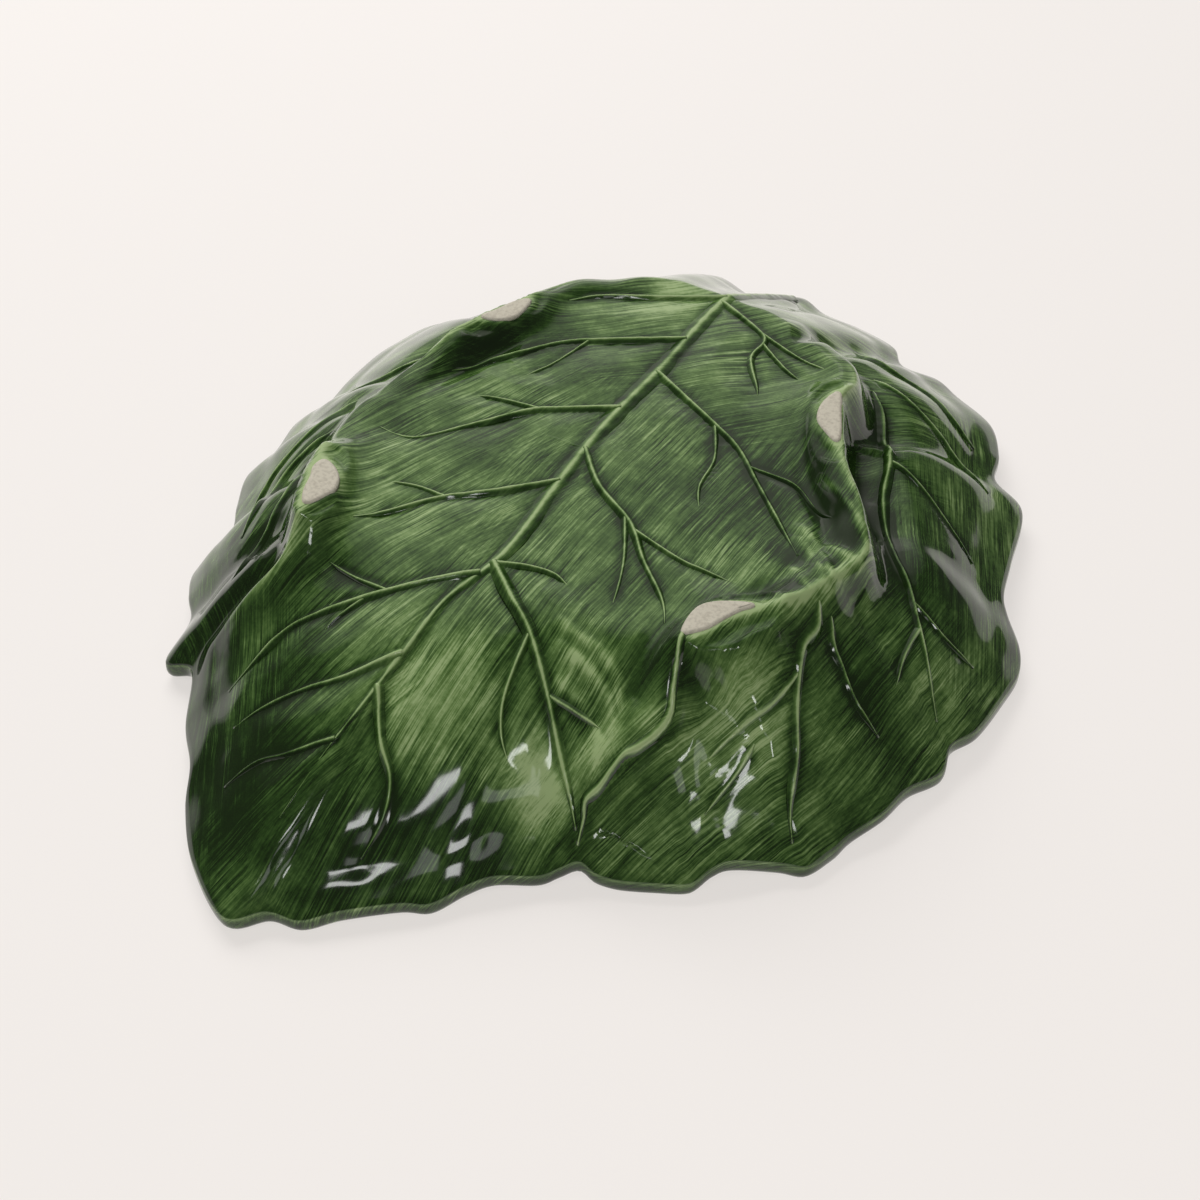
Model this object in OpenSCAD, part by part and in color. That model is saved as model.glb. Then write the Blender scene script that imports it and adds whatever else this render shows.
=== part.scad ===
// Cabbage leaf plate in press moulded, glazed earthenware, lying face down on its rim.
// The leaf runs along Y, with its tip at -Y and its stem end at +Y. Its four feet point up.
// The origin is the centre of the leaf's outline, on the plane that the rim rests on.

/* [Leaf] */
// Length from the tip to the stem end
leaf_length = 331; // [260:1:400]
// Width across the widest lobes
leaf_width = 256; // [200:1:310]
// Thickness of the clay
wall = 5; // [3.5:0.5:7]
// Height from the lowest points of the rim to the pads on the feet
foot_height = 57; // [50:1:70]
// Rise of the base in its middle
base_crown = 1.5; // [0:0.5:3]

/* [Rim] */
// Height of the edge of the clay round the rim
rim_edge = 5.5; // [4:0.5:8]
// Rise of the rim between the lobes that it rests on
rim_wave = 6; // [2:0.5:9]

/* [Folds] */
// Height of the feet above the base, where the clay is pinched up into folds
fold_rise = 7; // [4:0.5:10]
// Depth of the valley outside a fold
fold_drop = 11; // [5:0.5:15]
// Reach of a fold towards the middle of the leaf
fold_inner = 9.5; // [7:0.5:13]
// Width of a fold's steep outer side
fold_outer = 7; // [5:0.5:10]
// Depth of the hollow at a fold's inner foot
fold_hollow = 3; // [0:0.5:4]
// Reach of the valley beyond the steep side
valley_reach = 10; // [6:0.5:14]

/* [Feet] */
// Thickness of the bare clay pad on each foot
pad_height = 0.8; // [0.4:0.1:1.5]

/* [Veins] */
// Width of the midrib where it is broadest
midrib_width = 5.4; // [4:0.2:8]
// Height of the midrib where it is broadest
midrib_height = 1; // [0.8:0.1:2]
// Width of a main vein where it leaves the midrib
vein_width = 2.9; // [2.4:0.1:4]
// Height of a main vein where it leaves the midrib
vein_height = 1.1; // [0.8:0.1:1.8]
// Depth of a vein's root in the clay
vein_root = 0.4; // [0.2:0.1:0.8]
// Gap between a vein and the one that it forks from
fork_gap = 0.3; // [0.2:0.1:0.6]

/* [Hidden] */

base_height = foot_height - fold_rise;
pad_seat = foot_height - pad_height;

// Places in plan are shares of the reach from the heart of the leaf to its tip,
// across the leaf and along it. A bearing is in degrees, from +X towards +Y.

// Outline of the rim: bearing, reach share, and share of rim_wave by which it is lifted there
rim_shares = [
    [2, 0.775, 0.2], [7, 0.78, 0], [11, 0.77, 0.2], [15.5, 0.74, 0.7], [19, 0.73, 1], [27, 0.75, 0.7],
    [38, 0.805, 0.3], [43, 0.775, 1], [48.5, 0.82, 0.7], [55, 0.86, 0.5], [62, 0.86, 0.5], [66, 0.86, 0.7],
    [70.5, 0.83, 1], [75, 0.885, 0.5], [81, 0.895, 0.5], [86, 0.89, 0.7], [90, 0.905, 1], [96, 0.91, 0],
    [102, 0.925, 0.8], [108, 0.905, 0.5], [114, 0.865, 0.8], [121, 0.86, 0.5], [127, 0.82, 0.8],
    [133, 0.81, 0.5], [138.5, 0.78, 0.8], [143.5, 0.8, 0.5], [149, 0.78, 0.5], [154, 0.75, 0.8],
    [161, 0.72, 0.7], [167, 0.7, 0.5], [174, 0.7, 0.7], [182, 0.68, 0.8], [188, 0.7, 0.5],
    [196, 0.68, 0.7], [203, 0.67, 0.8], [209, 0.725, 0], [215, 0.73, 0.3], [221, 0.73, 0.5],
    [227, 0.785, 0.2], [231, 0.75, 0.7], [239, 0.8, 0.3], [246, 0.84, 0.8], [250, 0.89, 0.2],
    [256, 0.95, 0.2], [263, 1, 0.2], [266, 0.955, 0.2], [269, 0.94, 0], [272, 0.9, 0.2], [277, 0.85, 0.2],
    [280, 0.83, 0], [283, 0.79, 0.3], [286, 0.765, 0.5], [291, 0.745, 0.2], [293.5, 0.735, 0.5],
    [296, 0.725, 0.7], [298, 0.735, 0.2], [301, 0.745, 0], [305, 0.755, 0], [309, 0.765, 0],
    [312, 0.755, 0.5], [314.5, 0.755, 0.7], [320, 0.77, 0.2], [323, 0.79, 0], [327, 0.78, 0],
    [330, 0.77, 0.2], [335, 0.77, 0.5], [340, 0.76, 0.5], [345.5, 0.77, 0.2], [349, 0.755, 0.7],
    [354, 0.77, 0.5]];

// Where the wall leaves the base: bearing, and share of the way to the rim
base_edge_shares = [
    [0, 0.58], [30, 0.54], [60, 0.58], [90, 0.6], [120, 0.58], [150, 0.52], [180, 0.54], [220, 0.6],
    [240, 0.5], [263, 0.38], [285, 0.48], [300, 0.56], [320, 0.62], [360, 0.58]];

// How the wall falls: bearing, and the power of its curve, where 1 is a straight slope
wall_curve_shares = [
    [0, 1.5], [30, 1.25], [60, 1.1], [90, 1.05], [120, 1.1], [150, 1.2], [180, 1.5], [210, 1.6],
    [240, 1.6], [263, 1.55], [300, 1.6], [330, 1.6], [360, 1.5]];

// Crests of the folds: across, along, and shares of fold_rise, fold_drop, fold_outer and fold_hollow
right_fold_shares = [
    [0.32, -0.64, 0.1, 0, 1, 0], [0.3, -0.61, 0.4, 0.1, 1, 0], [0.32, -0.56, 0.7, 0.15, 1, 0.1],
    [0.35, -0.51, 0.7, 0.2, 1, 0.3], [0.37, -0.46, 0.7, 0.2, 1.1, 0.6], [0.36, -0.4, 1, 0.2, 1.4, 0.8],
    [0.37, -0.36, 1.8, 0.1, 2, 0.7], [0.385, -0.33, 2, 0, 2.6, 0.7], [0.4, -0.29, 2, 0, 2.8, 0.7],
    [0.43, -0.26, 1.7, 0, 2.6, 0.7], [0.455, -0.22, 0.9, 0.1, 2.2, 0.8], [0.48, -0.16, 0.6, 0.2, 1.6, 0.5],
    [0.5, -0.1, 0.6, 0.3, 1.2, 0.3], [0.52, -0.03, 0.6, 0.4, 1, 0.4], [0.49, 0.03, 0.7, 0.6, 1, 0.8],
    [0.45, 0.09, 0.8, 0.8, 1, 1], [0.4, 0.15, 1.1, 0.9, 1, 1], [0.375, 0.19, 1.5, 1, 1, 0.9],
    [0.35, 0.235, 1.5, 1, 1, 0.6], [0.335, 0.275, 1.4, 1, 1, 0.3], [0.32, 0.315, 1.2, 0.8, 1, 0.1],
    [0.33, 0.37, 0.8, 0.6, 1, 0], [0.3, 0.43, 0.6, 0.4, 1, 0], [0.24, 0.48, 0.4, 0.3, 1, 0],
    [0.19, 0.51, 0.3, 0.2, 1, 0], [0.13, 0.55, 0, 0, 1, 0]];
left_fold_shares = [
    [-0.44, -0.61, 0.1, 0, 1, 0], [-0.43, -0.56, 0.4, 0.1, 1, 0], [-0.39, -0.51, 0.7, 0.1, 1, 0],
    [-0.35, -0.46, 0.9, 0.1, 1, 0.2], [-0.345, -0.41, 1.4, 0.2, 1.1, 0.2], [-0.355, -0.37, 2, 0.2, 1.2, 0.2],
    [-0.37, -0.34, 2, 0.2, 1.3, 0.2], [-0.38, -0.305, 2, 0.2, 1.3, 0.2], [-0.395, -0.265, 1.6, 0.2, 1.2, 0.2],
    [-0.415, -0.21, 0.8, 0.2, 1.1, 0.1], [-0.435, -0.145, 0.5, 0.1, 1, 0], [-0.44, -0.09, 0.4, 0.1, 1, 0],
    [-0.43, -0.02, 0.4, 0.1, 1, 0.1], [-0.41, 0.06, 0.5, 0.3, 1, 0.4], [-0.39, 0.13, 0.9, 0.6, 1, 1],
    [-0.375, 0.185, 1.4, 1, 1, 1.2], [-0.355, 0.225, 1.6, 1, 1, 1.2], [-0.34, 0.26, 1.6, 1, 1, 0.8],
    [-0.32, 0.3, 1.4, 0.8, 1, 0.3], [-0.31, 0.34, 0.8, 0.6, 1, 0.2], [-0.3, 0.42, 0.6, 0.4, 1, 0],
    [-0.24, 0.48, 0.4, 0.3, 1, 0], [-0.19, 0.51, 0.3, 0.2, 1, 0], [-0.13, 0.55, 0, 0, 1, 0]];

// Outlines of the bare pads on the crests of the folds
left_front_pad_shares = [
    [-0.38, -0.27], [-0.355, -0.28], [-0.335, -0.3], [-0.325, -0.325], [-0.33, -0.345], [-0.34, -0.37],
    [-0.35, -0.375], [-0.365, -0.35], [-0.375, -0.315], [-0.385, -0.29]];
left_back_pad_shares = [
    [-0.355, 0.225], [-0.34, 0.255], [-0.325, 0.29], [-0.305, 0.31], [-0.3, 0.28], [-0.305, 0.25],
    [-0.325, 0.23]];
right_front_pad_shares = [
    [0.35, -0.365], [0.345, -0.33], [0.35, -0.3], [0.37, -0.28], [0.4, -0.265], [0.42, -0.26],
    [0.405, -0.28], [0.39, -0.31], [0.38, -0.335], [0.365, -0.355]];
right_back_pad_shares = [
    [0.32, 0.315], [0.31, 0.29], [0.31, 0.26], [0.32, 0.23], [0.34, 0.21], [0.37, 0.19], [0.36, 0.225],
    [0.34, 0.27]];

// The midrib, from the stem end to the tip
midrib_shares = [
    [0, 0.86], [0, 0.72], [0, 0.59], [-0.01, 0.45], [-0.01, 0.28], [-0.02, 0.08], [-0.015, -0.12],
    [-0.01, -0.27], [-0.02, -0.35], [-0.045, -0.44], [-0.055, -0.54], [-0.07, -0.64], [-0.09, -0.74],
    [-0.11, -0.86]];

// Veins: share of the full girth, route, and the twigs that leave it, each with its own share and route
left_base_vein_shares = [
    [0.9, [[0, 0.54], [-0.13, 0.47], [-0.22, 0.42], [-0.27, 0.36]], []],
    [1, [[-0.01, 0.38], [-0.15, 0.3], [-0.21, 0.26], [-0.26, 0.2], [-0.33, 0.12], [-0.36, 0.07]],
        [[0.6, [[-0.165, 0.29], [-0.19, 0.2], [-0.22, 0.14]]]]],
    [1, [[-0.02, 0.13], [-0.11, 0.08], [-0.16, 0.05], [-0.23, -0.03], [-0.3, -0.105], [-0.37, -0.11]],
        [[0.6, [[-0.14, 0.06], [-0.22, 0.06], [-0.27, 0.05]]]]],
    [1, [[-0.02, -0.1], [-0.1, -0.17], [-0.18, -0.23], [-0.24, -0.3], [-0.28, -0.34]],
        [[0.6, [[-0.17, -0.22], [-0.23, -0.22], [-0.28, -0.23]]]]]];
right_base_vein_shares = [
    [0.9, [[0, 0.52], [0.09, 0.47], [0.12, 0.44], [0.12, 0.38], [0.17, 0.3], [0.18, 0.27]],
        [[0.6, [[0.12, 0.43], [0.19, 0.38], [0.23, 0.36]]], [0.6, [[0.1, 0.46], [0.2, 0.42], [0.27, 0.4]]]]],
    [1, [[-0.01, 0.26], [0.11, 0.19], [0.21, 0.13], [0.28, 0.06], [0.35, -0.01], [0.42, -0.08]],
        [[0.6, [[0.15, 0.17], [0.19, 0.08], [0.2, 0], [0.23, -0.06]]],
        [0.6, [[0.25, 0.09], [0.34, 0.085], [0.39, 0.055], [0.44, 0.03]]]]],
    [1, [[-0.02, 0], [0.05, -0.08], [0.14, -0.14], [0.2, -0.21], [0.27, -0.28], [0.3, -0.33]],
        [[0.6, [[0.12, -0.13], [0.17, -0.22], [0.195, -0.29], [0.21, -0.35]]],
        [0.6, [[0.15, -0.15], [0.25, -0.18], [0.3, -0.185], [0.35, -0.19]]]]]];
left_tip_vein_shares = [
    [1.1, [[-0.02, -0.36], [-0.11, -0.43], [-0.18, -0.48], [-0.24, -0.52], [-0.29, -0.56], [-0.34, -0.65]],
        [[0.6, [[-0.14, -0.455], [-0.21, -0.445], [-0.27, -0.43]]],
        [0.6, [[-0.17, -0.47], [-0.2, -0.52], [-0.21, -0.55]]]]],
    [0.9, [[-0.055, -0.55], [-0.12, -0.61], [-0.19, -0.65], [-0.25, -0.685], [-0.285, -0.715]], []],
    [0.7, [[-0.09, -0.71], [-0.15, -0.75], [-0.2, -0.77], [-0.24, -0.81]], []],
    [0.9, [[-0.065, -0.61], [-0.02, -0.68], [0.02, -0.72], [0.035, -0.77], [0.03, -0.83]], []]];
right_tip_vein_shares = [
    [1.2, [[-0.015, -0.33], [0.05, -0.385], [0.11, -0.43], [0.17, -0.49], [0.23, -0.555], [0.3, -0.63]],
        [[0.6, [[0.18, -0.5], [0.24, -0.505], [0.28, -0.51]]],
        [0.7, [[0.11, -0.43], [0.12, -0.53], [0.14, -0.58], [0.17, -0.61]]]]],
    [0.7, [[-0.015, -0.33], [0.038, -0.31], [0.084, -0.306], [0.12, -0.32]], []]];
left_lobe_vein_shares = [
    [1, [[-0.35, 0.44], [-0.39, 0.38], [-0.43, 0.31], [-0.47, 0.21], [-0.52, 0.12], [-0.58, 0.05]], []],
    [0.7, [[-0.3, 0.53], [-0.37, 0.52], [-0.45, 0.5], [-0.52, 0.45]], []],
    [0.9, [[-0.5, 0.02], [-0.54, -0.09], [-0.57, -0.16], [-0.58, -0.25]], []],
    [0.9, [[-0.48, -0.1], [-0.53, -0.19], [-0.52, -0.3], [-0.51, -0.36]], []],
    [0.9, [[-0.46, -0.2], [-0.46, -0.3], [-0.45, -0.38], [-0.46, -0.48]], []]];
right_lobe_vein_shares = [
    [1, [[0.492, -0.155], [0.507, -0.2], [0.505, -0.25], [0.53, -0.32], [0.56, -0.38], [0.58, -0.44],
        [0.6, -0.47]],
        [[0.6, [[0.515, -0.28], [0.5, -0.36], [0.475, -0.4], [0.455, -0.44], [0.44, -0.48]]]]],
    [0.5, [[0.5, -0.41], [0.49, -0.46], [0.47, -0.52]], []],
    [0.9, [[0.515, -0.155], [0.53, -0.185], [0.56, -0.21], [0.6, -0.24], [0.65, -0.25]], []],
    [1.1, [[0.315, 0.495], [0.36, 0.44], [0.39, 0.38], [0.43, 0.31], [0.46, 0.21], [0.52, 0.1],
        [0.58, 0.03], [0.63, -0.04], [0.71, -0.14]],
        [[0.6, [[0.43, 0.31], [0.49, 0.295], [0.54, 0.275], [0.63, 0.23]]],
        [0.6, [[0.6, 0], [0.66, -0.01], [0.72, 0]]],
        [0.6, [[0.63, -0.04], [0.63, -0.11], [0.64, -0.16]]]]],
    [0.8, [[0.22, 0.65], [0.28, 0.63], [0.39, 0.62], [0.45, 0.59], [0.51, 0.56]], []],
    [0.8, [[0.3, 0.53], [0.37, 0.52], [0.45, 0.5], [0.52, 0.47], [0.58, 0.45]], []]];

// Crests seen from the heart: bearing, and share of the way to the rim. The dish's rows follow it.
crest_way_shares = [
    [0, 0.66], [11, 0.59], [27, 0.56], [39, 0.54], [48, 0.6], [63, 0.63], [90, 0.64], [117, 0.62],
    [132, 0.57], [148, 0.53], [162, 0.57], [172, 0.59], [192, 0.65], [219, 0.66], [230, 0.7], [240, 0.6],
    [265, 0.52], [295, 0.6], [304, 0.72], [315, 0.69], [324, 0.635], [334, 0.665], [350, 0.68], [360, 0.66]];
// Rows of the dish: shares of the way to the folds, of a fold's inner reach, of its steep side,
// of its valley's reach, and of the way from there to the rim
outer_base_shares = [0.27, 0.54, 0.8];
outer_inner_shares = [-1.5, -1.1, -0.8, -0.5, -0.25, 0];
outer_steep_shares = [0.25, 0.5, 0.75, 1];
outer_valley_shares = [0.6, 1.2];
outer_wall_shares = [0.22, 0.44, 0.64, 0.82, 1];
under_base_shares = [0.35, 0.7];
under_inner_shares = [-1.4, -0.9];
under_steep_shares = [0, 0.33, 0.66, 1];
under_valley_shares = [0.3, 1];
under_wall_shares = [0.4, 0.8];
// Rounded lip: share of the wall inwards, and share of rim_edge upwards
lip_shares = [[0, 0.35], [0.2, 0], [0.75, 0.05]];
// Share of the way to the rim over which a fold dies out
fold_fade_share = 0.05;
// How much of a fold's rise shows on the eating side
inner_rise_share = 0.5;
// Section of a vein: share of its half width across, and share of its height
vein_section_shares = [[-1, 0], [-0.6, 0.75], [0, 1], [0.6, 0.75], [1, 0]];
// Girth of a vein, by the share of its route's points; the midrib thins past its fork
vein_girth_shares = [[0, 1], [1, 0.4]];
midrib_girth_shares = [[0, 0.75], [0.28, 0.95], [0.45, 1], [0.54, 0.7], [0.67, 0.42], [1, 0.25]];
// The hollow at a fold's inner foot: shares of fold_inner for the way to its middle and for its reach
hollow_way_share = 1.1;
hollow_reach_share = 0.4;
// Greatest share by which a vein is raised more on a slope
most_raised_share = 1.7;
curve_steps = 2;

// Curve through four points, from the second at t = 0 to the third at t = 1
function between(a, b, c, d, t) =
    (2 * b + (c - a) * t + (2 * a - 5 * b + 4 * c - d) * t * t + (3 * b - a - 3 * c + d) * t * t * t) / 2;

// Closed curve through a list of points
function loop_through(points) = let(n = len(points)) [
    for (i = [0:n - 1], k = [0:curve_steps - 1])
        between(points[(i + n - 1) % n], points[i], points[(i + 1) % n], points[(i + 2) % n],
            k / curve_steps)];

// Open curve through a list of points
function path_through(points) = let(last = len(points) - 1) [
    for (i = [0:last - 1], k = [0:curve_steps - (i < last - 1 ? 1 : 0)])
        between(points[max(0, i - 1)], points[i], points[i + 1], points[min(last, i + 2)], k / curve_steps)];

function ease(t) = let(u = min(1, max(0, t))) u * u * (3 - 2 * u);

// The rim in shares, as points across, along and lifted
rim_curve = loop_through([for (r = rim_shares) [r[1] * cos(r[0]), r[1] * sin(r[0]), r[2]]]);
rim = [for (r = rim_curve) [r.x, r.y, max(0, r.z)]];
rim_across = [for (r = rim) r.x];
rim_along = [for (r = rim) r.y];
across_unit = leaf_width / (max(rim_across) - min(rim_across));
along_unit = leaf_length / (max(rim_along) - min(rim_along));
middle = [(max(rim_across) + min(rim_across)) / 2, (max(rim_along) + min(rim_along)) / 2];

function plan(share) = [(share.x - middle.x) * across_unit, (share.y - middle.y) * along_unit];
midrib_route = path_through([for (m = midrib_shares) plan(m)]);
function shares_of(place) = [place.x / across_unit + middle.x, place.y / along_unit + middle.y];
function bearing(share) = (atan2(share.y, share.x) + 360) % 360;
function flat_norm(share) = norm([share.x, share.y]);

// Tables by bearing, with the ends joined
function round_table(values) = let(n = len(rim)) concat(
    [[bearing(rim[n - 1]) - 360, values[n - 1]]],
    [for (i = [0:n - 1]) [bearing(rim[i]), values[i]]],
    [[bearing(rim[0]) + 360, values[0]]]);
reach_by_bearing = round_table([for (r = rim) flat_norm(r)]);
lift_by_bearing = round_table([for (r = rim) r.z * rim_wave]);

// Crests in plan, with their rise, drop, side and hollow
function crest(fold_shares) = [for (f = fold_shares) let(p = plan(f))
    [p.x, p.y, f[2] * fold_rise, f[3] * fold_drop, f[4] * fold_outer, f[5] * fold_hollow]];
right_crest = crest(right_fold_shares);
left_crest = crest(left_fold_shares);

// Distance from a place to one stretch of a crest, the distance outwards, and what the crest has there
function to_stretch(place, a, b, outward) = let(
    along = [b.x - a.x, b.y - a.y],
    t = min(1, max(0, ([place.x - a.x, place.y - a.y] * along) / (along * along))),
    gap = [place.x - a.x - t * along.x, place.y - a.y - t * along.y],
    side = gap.x * along.y - gap.y * along.x)
    [norm(gap), outward * sign(side) * norm(gap), for (k = [2:5]) a[k] + t * (b[k] - a[k])];

// The nearest stretch of the fold on a place's own side of the leaf
function to_fold(place, on_right) = let(
    fold = on_right ? right_crest : left_crest,
    reaches = [for (i = [0:len(fold) - 2]) to_stretch(place, fold[i], fold[i + 1], on_right ? 1 : -1)],
    gaps = [for (r = reaches) r[0]])
    reaches[search(min(gaps), gaps)[0]];

// Height that a fold adds at a distance outwards from its crest
function fold_profile(out, rise, drop, side, hollow) = out < 0
    ? rise * exp(-pow(out / fold_inner, 2))
        - hollow * exp(-pow((out / fold_inner + hollow_way_share) / hollow_reach_share, 2))
    : let(fall = ease(out / side), beyond = max(0, out - side))
        rise * (1 - fall) - drop * fall * exp(-pow(beyond / valley_reach, 2));

// Heights of both faces of the clay at a place in plan: outside, and on the eating side
function faces_at(place) = let(
    share = shares_of(place),
    turn = bearing(share),
    reach = lookup(turn, reach_by_bearing),
    s = flat_norm(share) / reach,
    start = lookup(turn, base_edge_shares),
    power = lookup(turn, wall_curve_shares),
    edge = rim_edge + lookup(turn, lift_by_bearing),
    u = max(0, (s - start) / (1 - start)),
    crown = base_crown * (1 - ease(s / start)),
    dome = crown + edge + (base_height - edge) * (1 - pow(u, power)),
    reach_in_plan = norm([reach * cos(turn) * across_unit, reach * sin(turn) * along_unit]),
    slope = u > 0 ? (base_height - edge) * power * pow(u, power - 1) / ((1 - start) * reach_in_plan) : 0,
    fold = to_fold(place, share.x > 0),
    fade = ease((1 - s) / fold_fade_share),
    outside = fold_profile(fold[1], fold[2], fold[3], fold[4], fold[5]),
    inside = fold_profile(fold[1] + wall, fold[2] * inner_rise_share, fold[3], fold[4], fold[5]))
    [min(pad_seat, dome + outside * fade),
        dome - wall * sqrt(1 + slope * slope) + min(outside, inside) * fade];

function on_leaf(place) = [place.x, place.y, faces_at(place)[0]];
function under_leaf(place) = [place.x, place.y, faces_at(place)[1]];

// A solid skinned over rings of points, closed by a point at each end
module skin(start, rings, finish) {
    n = len(rings[0]);
    last = len(rings) * n + 1;
    polyhedron(
        points = concat([start], [for (r = rings) each r], [finish]),
        faces = concat(
            [for (j = [0:n - 1]) [0, 1 + (j + 1) % n, 1 + j]],
            [for (i = [0:len(rings) - 2], j = [0:n - 1])
                let(a = 1 + i * n + j, b = 1 + i * n + (j + 1) % n) each [[a, b, a + n], [b, b + n, a + n]]],
            [for (j = [0:n - 1]) [last, last - n + j, last - n + (j + 1) % n]]));
}

// Ways from the heart to the rim on which one column of the dish has its points
function ways(to_rim, base, offsets, outwards) = let(
    crest_way = lookup(bearing(to_rim), crest_way_shares),
    length = norm(plan(to_rim) - plan([0, 0])),
    folds = [for (o = offsets) crest_way + o / length],
    last = folds[len(folds) - 1])
    concat([for (b = base) b * folds[0]], folds, [for (w = outwards) last + w * (1 - last)]);

// The dish: its outer face from the heart to the rim, round the lip, and back on the eating side
module dish() {
    heart = plan([0, 0]);
    outer_offsets = concat(outer_inner_shares * fold_inner, outer_steep_shares * fold_outer,
        [for (v = outer_valley_shares) fold_outer + v * valley_reach]);
    under_offsets = concat(under_inner_shares * fold_inner,
        [for (t = under_steep_shares) t * fold_outer - wall],
        [for (v = under_valley_shares) fold_outer - wall + v * valley_reach]);
    outer_ways = [for (r = rim) ways(r, outer_base_shares, outer_offsets, outer_wall_shares)];
    under_ways = [for (r = rim) ways(r, under_base_shares, under_offsets, under_wall_shares)];
    columns = [0:len(rim) - 1];
    outer = [for (k = [0:len(outer_ways[0]) - 1])
        [for (j = columns) on_leaf(plan(outer_ways[j][k] * rim[j]))]];
    inner = [for (k = [len(under_ways[0]) - 1:-1:0])
        [for (j = columns) under_leaf(plan(under_ways[j][k] * rim[j]))]];
    lip = [for (l = lip_shares) [for (r = rim) let(
        p = plan(r),
        inward = (heart - p) / norm(heart - p),
        q = p + inward * l[0] * wall)
        [q.x, q.y, l[1] * rim_edge + r.z * rim_wave]]];
    skin(on_leaf(heart), concat(outer, lip, inner), under_leaf(heart));
}

// A route in plan that forks from the nearest point of a parent vein and starts clear of it
function forking(route_shares, own_width, parent, parent_width, parent_girths = vein_girth_shares) = let(
    route = [for (r = route_shares) plan(r)],
    gaps = [for (p = parent) norm(p - route[0])],
    i = search(min(gaps), gaps)[0],
    last = len(parent) - 1,
    along = parent[min(i + 1, last)] - parent[max(i - 1, 0)],
    step = route[1] - parent[i],
    sine = abs(cross(along, step)) / (norm(along) * norm(step)),
    cosine = abs(along * step) / (norm(along) * norm(step)),
    clear = (parent_width / 2 * lookup(i / last, parent_girths) + fork_gap + own_width / 2 * cosine) / sine)
    concat([parent[i] + step / norm(step) * clear], [for (i = [1:len(route) - 1]) route[i]]);

// A point inside a ring of a vein, from its two feet and its top
function inside(ring) = let(last = len(ring) - 1) (ring[0] + ring[floor(last / 2)] + ring[last]) / 3;

// One vein, a low rounded cord that thins along its route on the outer face
module vein(route, width, height, girths = vein_girth_shares) {
    n = len(route);
    levels = [for (p = route) faces_at(p)[0]];
    rings = [for (i = [0:n - 1]) let(
        before = max(0, i - 1),
        after = min(n - 1, i + 1),
        step = route[after] - route[before],
        across = [-step.y, step.x] / norm(step),
        size = lookup(i / (n - 1), girths),
        sides = [for (v = vein_section_shares) route[i] + across * v.x * size * width / 2],
        heights = [for (p = sides) faces_at(p)[0]],
        tilt = (heights[len(heights) - 1] - heights[0]) / (size * width),
        climb = (levels[after] - levels[before]) / norm(step),
        raise = min(most_raised_share, sqrt(1 + tilt * tilt + climb * climb)))
        [for (k = [0:len(sides) - 1]) let(v = vein_section_shares[k])
            [sides[k].x, sides[k].y,
                heights[k] + raise * (v.y > 0 ? v.y * size * height : -vein_root)]]];
    skin(inside(rings[0]), rings, inside(rings[n - 1]));
}

// Veins with their twigs; those on the base and the tip fork from the midrib
module veins(vein_shares, from_midrib = true) {
    for (v = vein_shares) {
        width = v[0] * vein_width;
        route = path_through(from_midrib
            ? forking(v[1], width, midrib_route, midrib_width, midrib_girth_shares)
            : [for (r = v[1]) plan(r)]);
        vein(route, width, v[0] * vein_height);
        for (t = v[2])
            vein(path_through(forking(t[1], t[0] * vein_width, route, width)),
                t[0] * vein_width, t[0] * vein_height);
    }
}

// Bare clay pad, ground flat, on the crest of a fold
module pad(outline_shares) {
    translate([0, 0, pad_seat])
        linear_extrude(pad_height)
            polygon(loop_through([for (o = outline_shares) plan(o)]));
}

module leaf_dish() {
    color("#3c6632") dish();
}

module midrib() {
    color("#6f8f5c") vein(midrib_route, midrib_width, midrib_height, midrib_girth_shares);
}

module left_base_veins() {
    color("#5f8150") veins(left_base_vein_shares);
}

module right_base_veins() {
    color("#5f8150") veins(right_base_vein_shares);
}

module left_tip_veins() {
    color("#567846") veins(left_tip_vein_shares);
}

module right_tip_veins() {
    color("#567846") veins(right_tip_vein_shares);
}

module left_lobe_veins() {
    color("#4f7040") veins(left_lobe_vein_shares, false);
}

module right_lobe_veins() {
    color("#4f7040") veins(right_lobe_vein_shares, false);
}

module left_front_foot() {
    color("#cdbfb3") pad(left_front_pad_shares);
}

module left_back_foot() {
    color("#cdbfb3") pad(left_back_pad_shares);
}

module right_front_foot() {
    color("#cdbfb3") pad(right_front_pad_shares);
}

module right_back_foot() {
    color("#cdbfb3") pad(right_back_pad_shares);
}

leaf_dish();
midrib();
left_base_veins();
right_base_veins();
left_tip_veins();
right_tip_veins();
left_lobe_veins();
right_lobe_veins();
left_front_foot();
left_back_foot();
right_front_foot();
right_back_foot();
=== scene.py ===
"""Cabbage leaf plate in brushed green majolica glaze, lying face down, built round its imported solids."""

import math

import bpy
import numpy as np
from bpy.props import FloatProperty, FloatVectorProperty, IntProperty, PointerProperty
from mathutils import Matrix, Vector, kdtree


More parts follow.
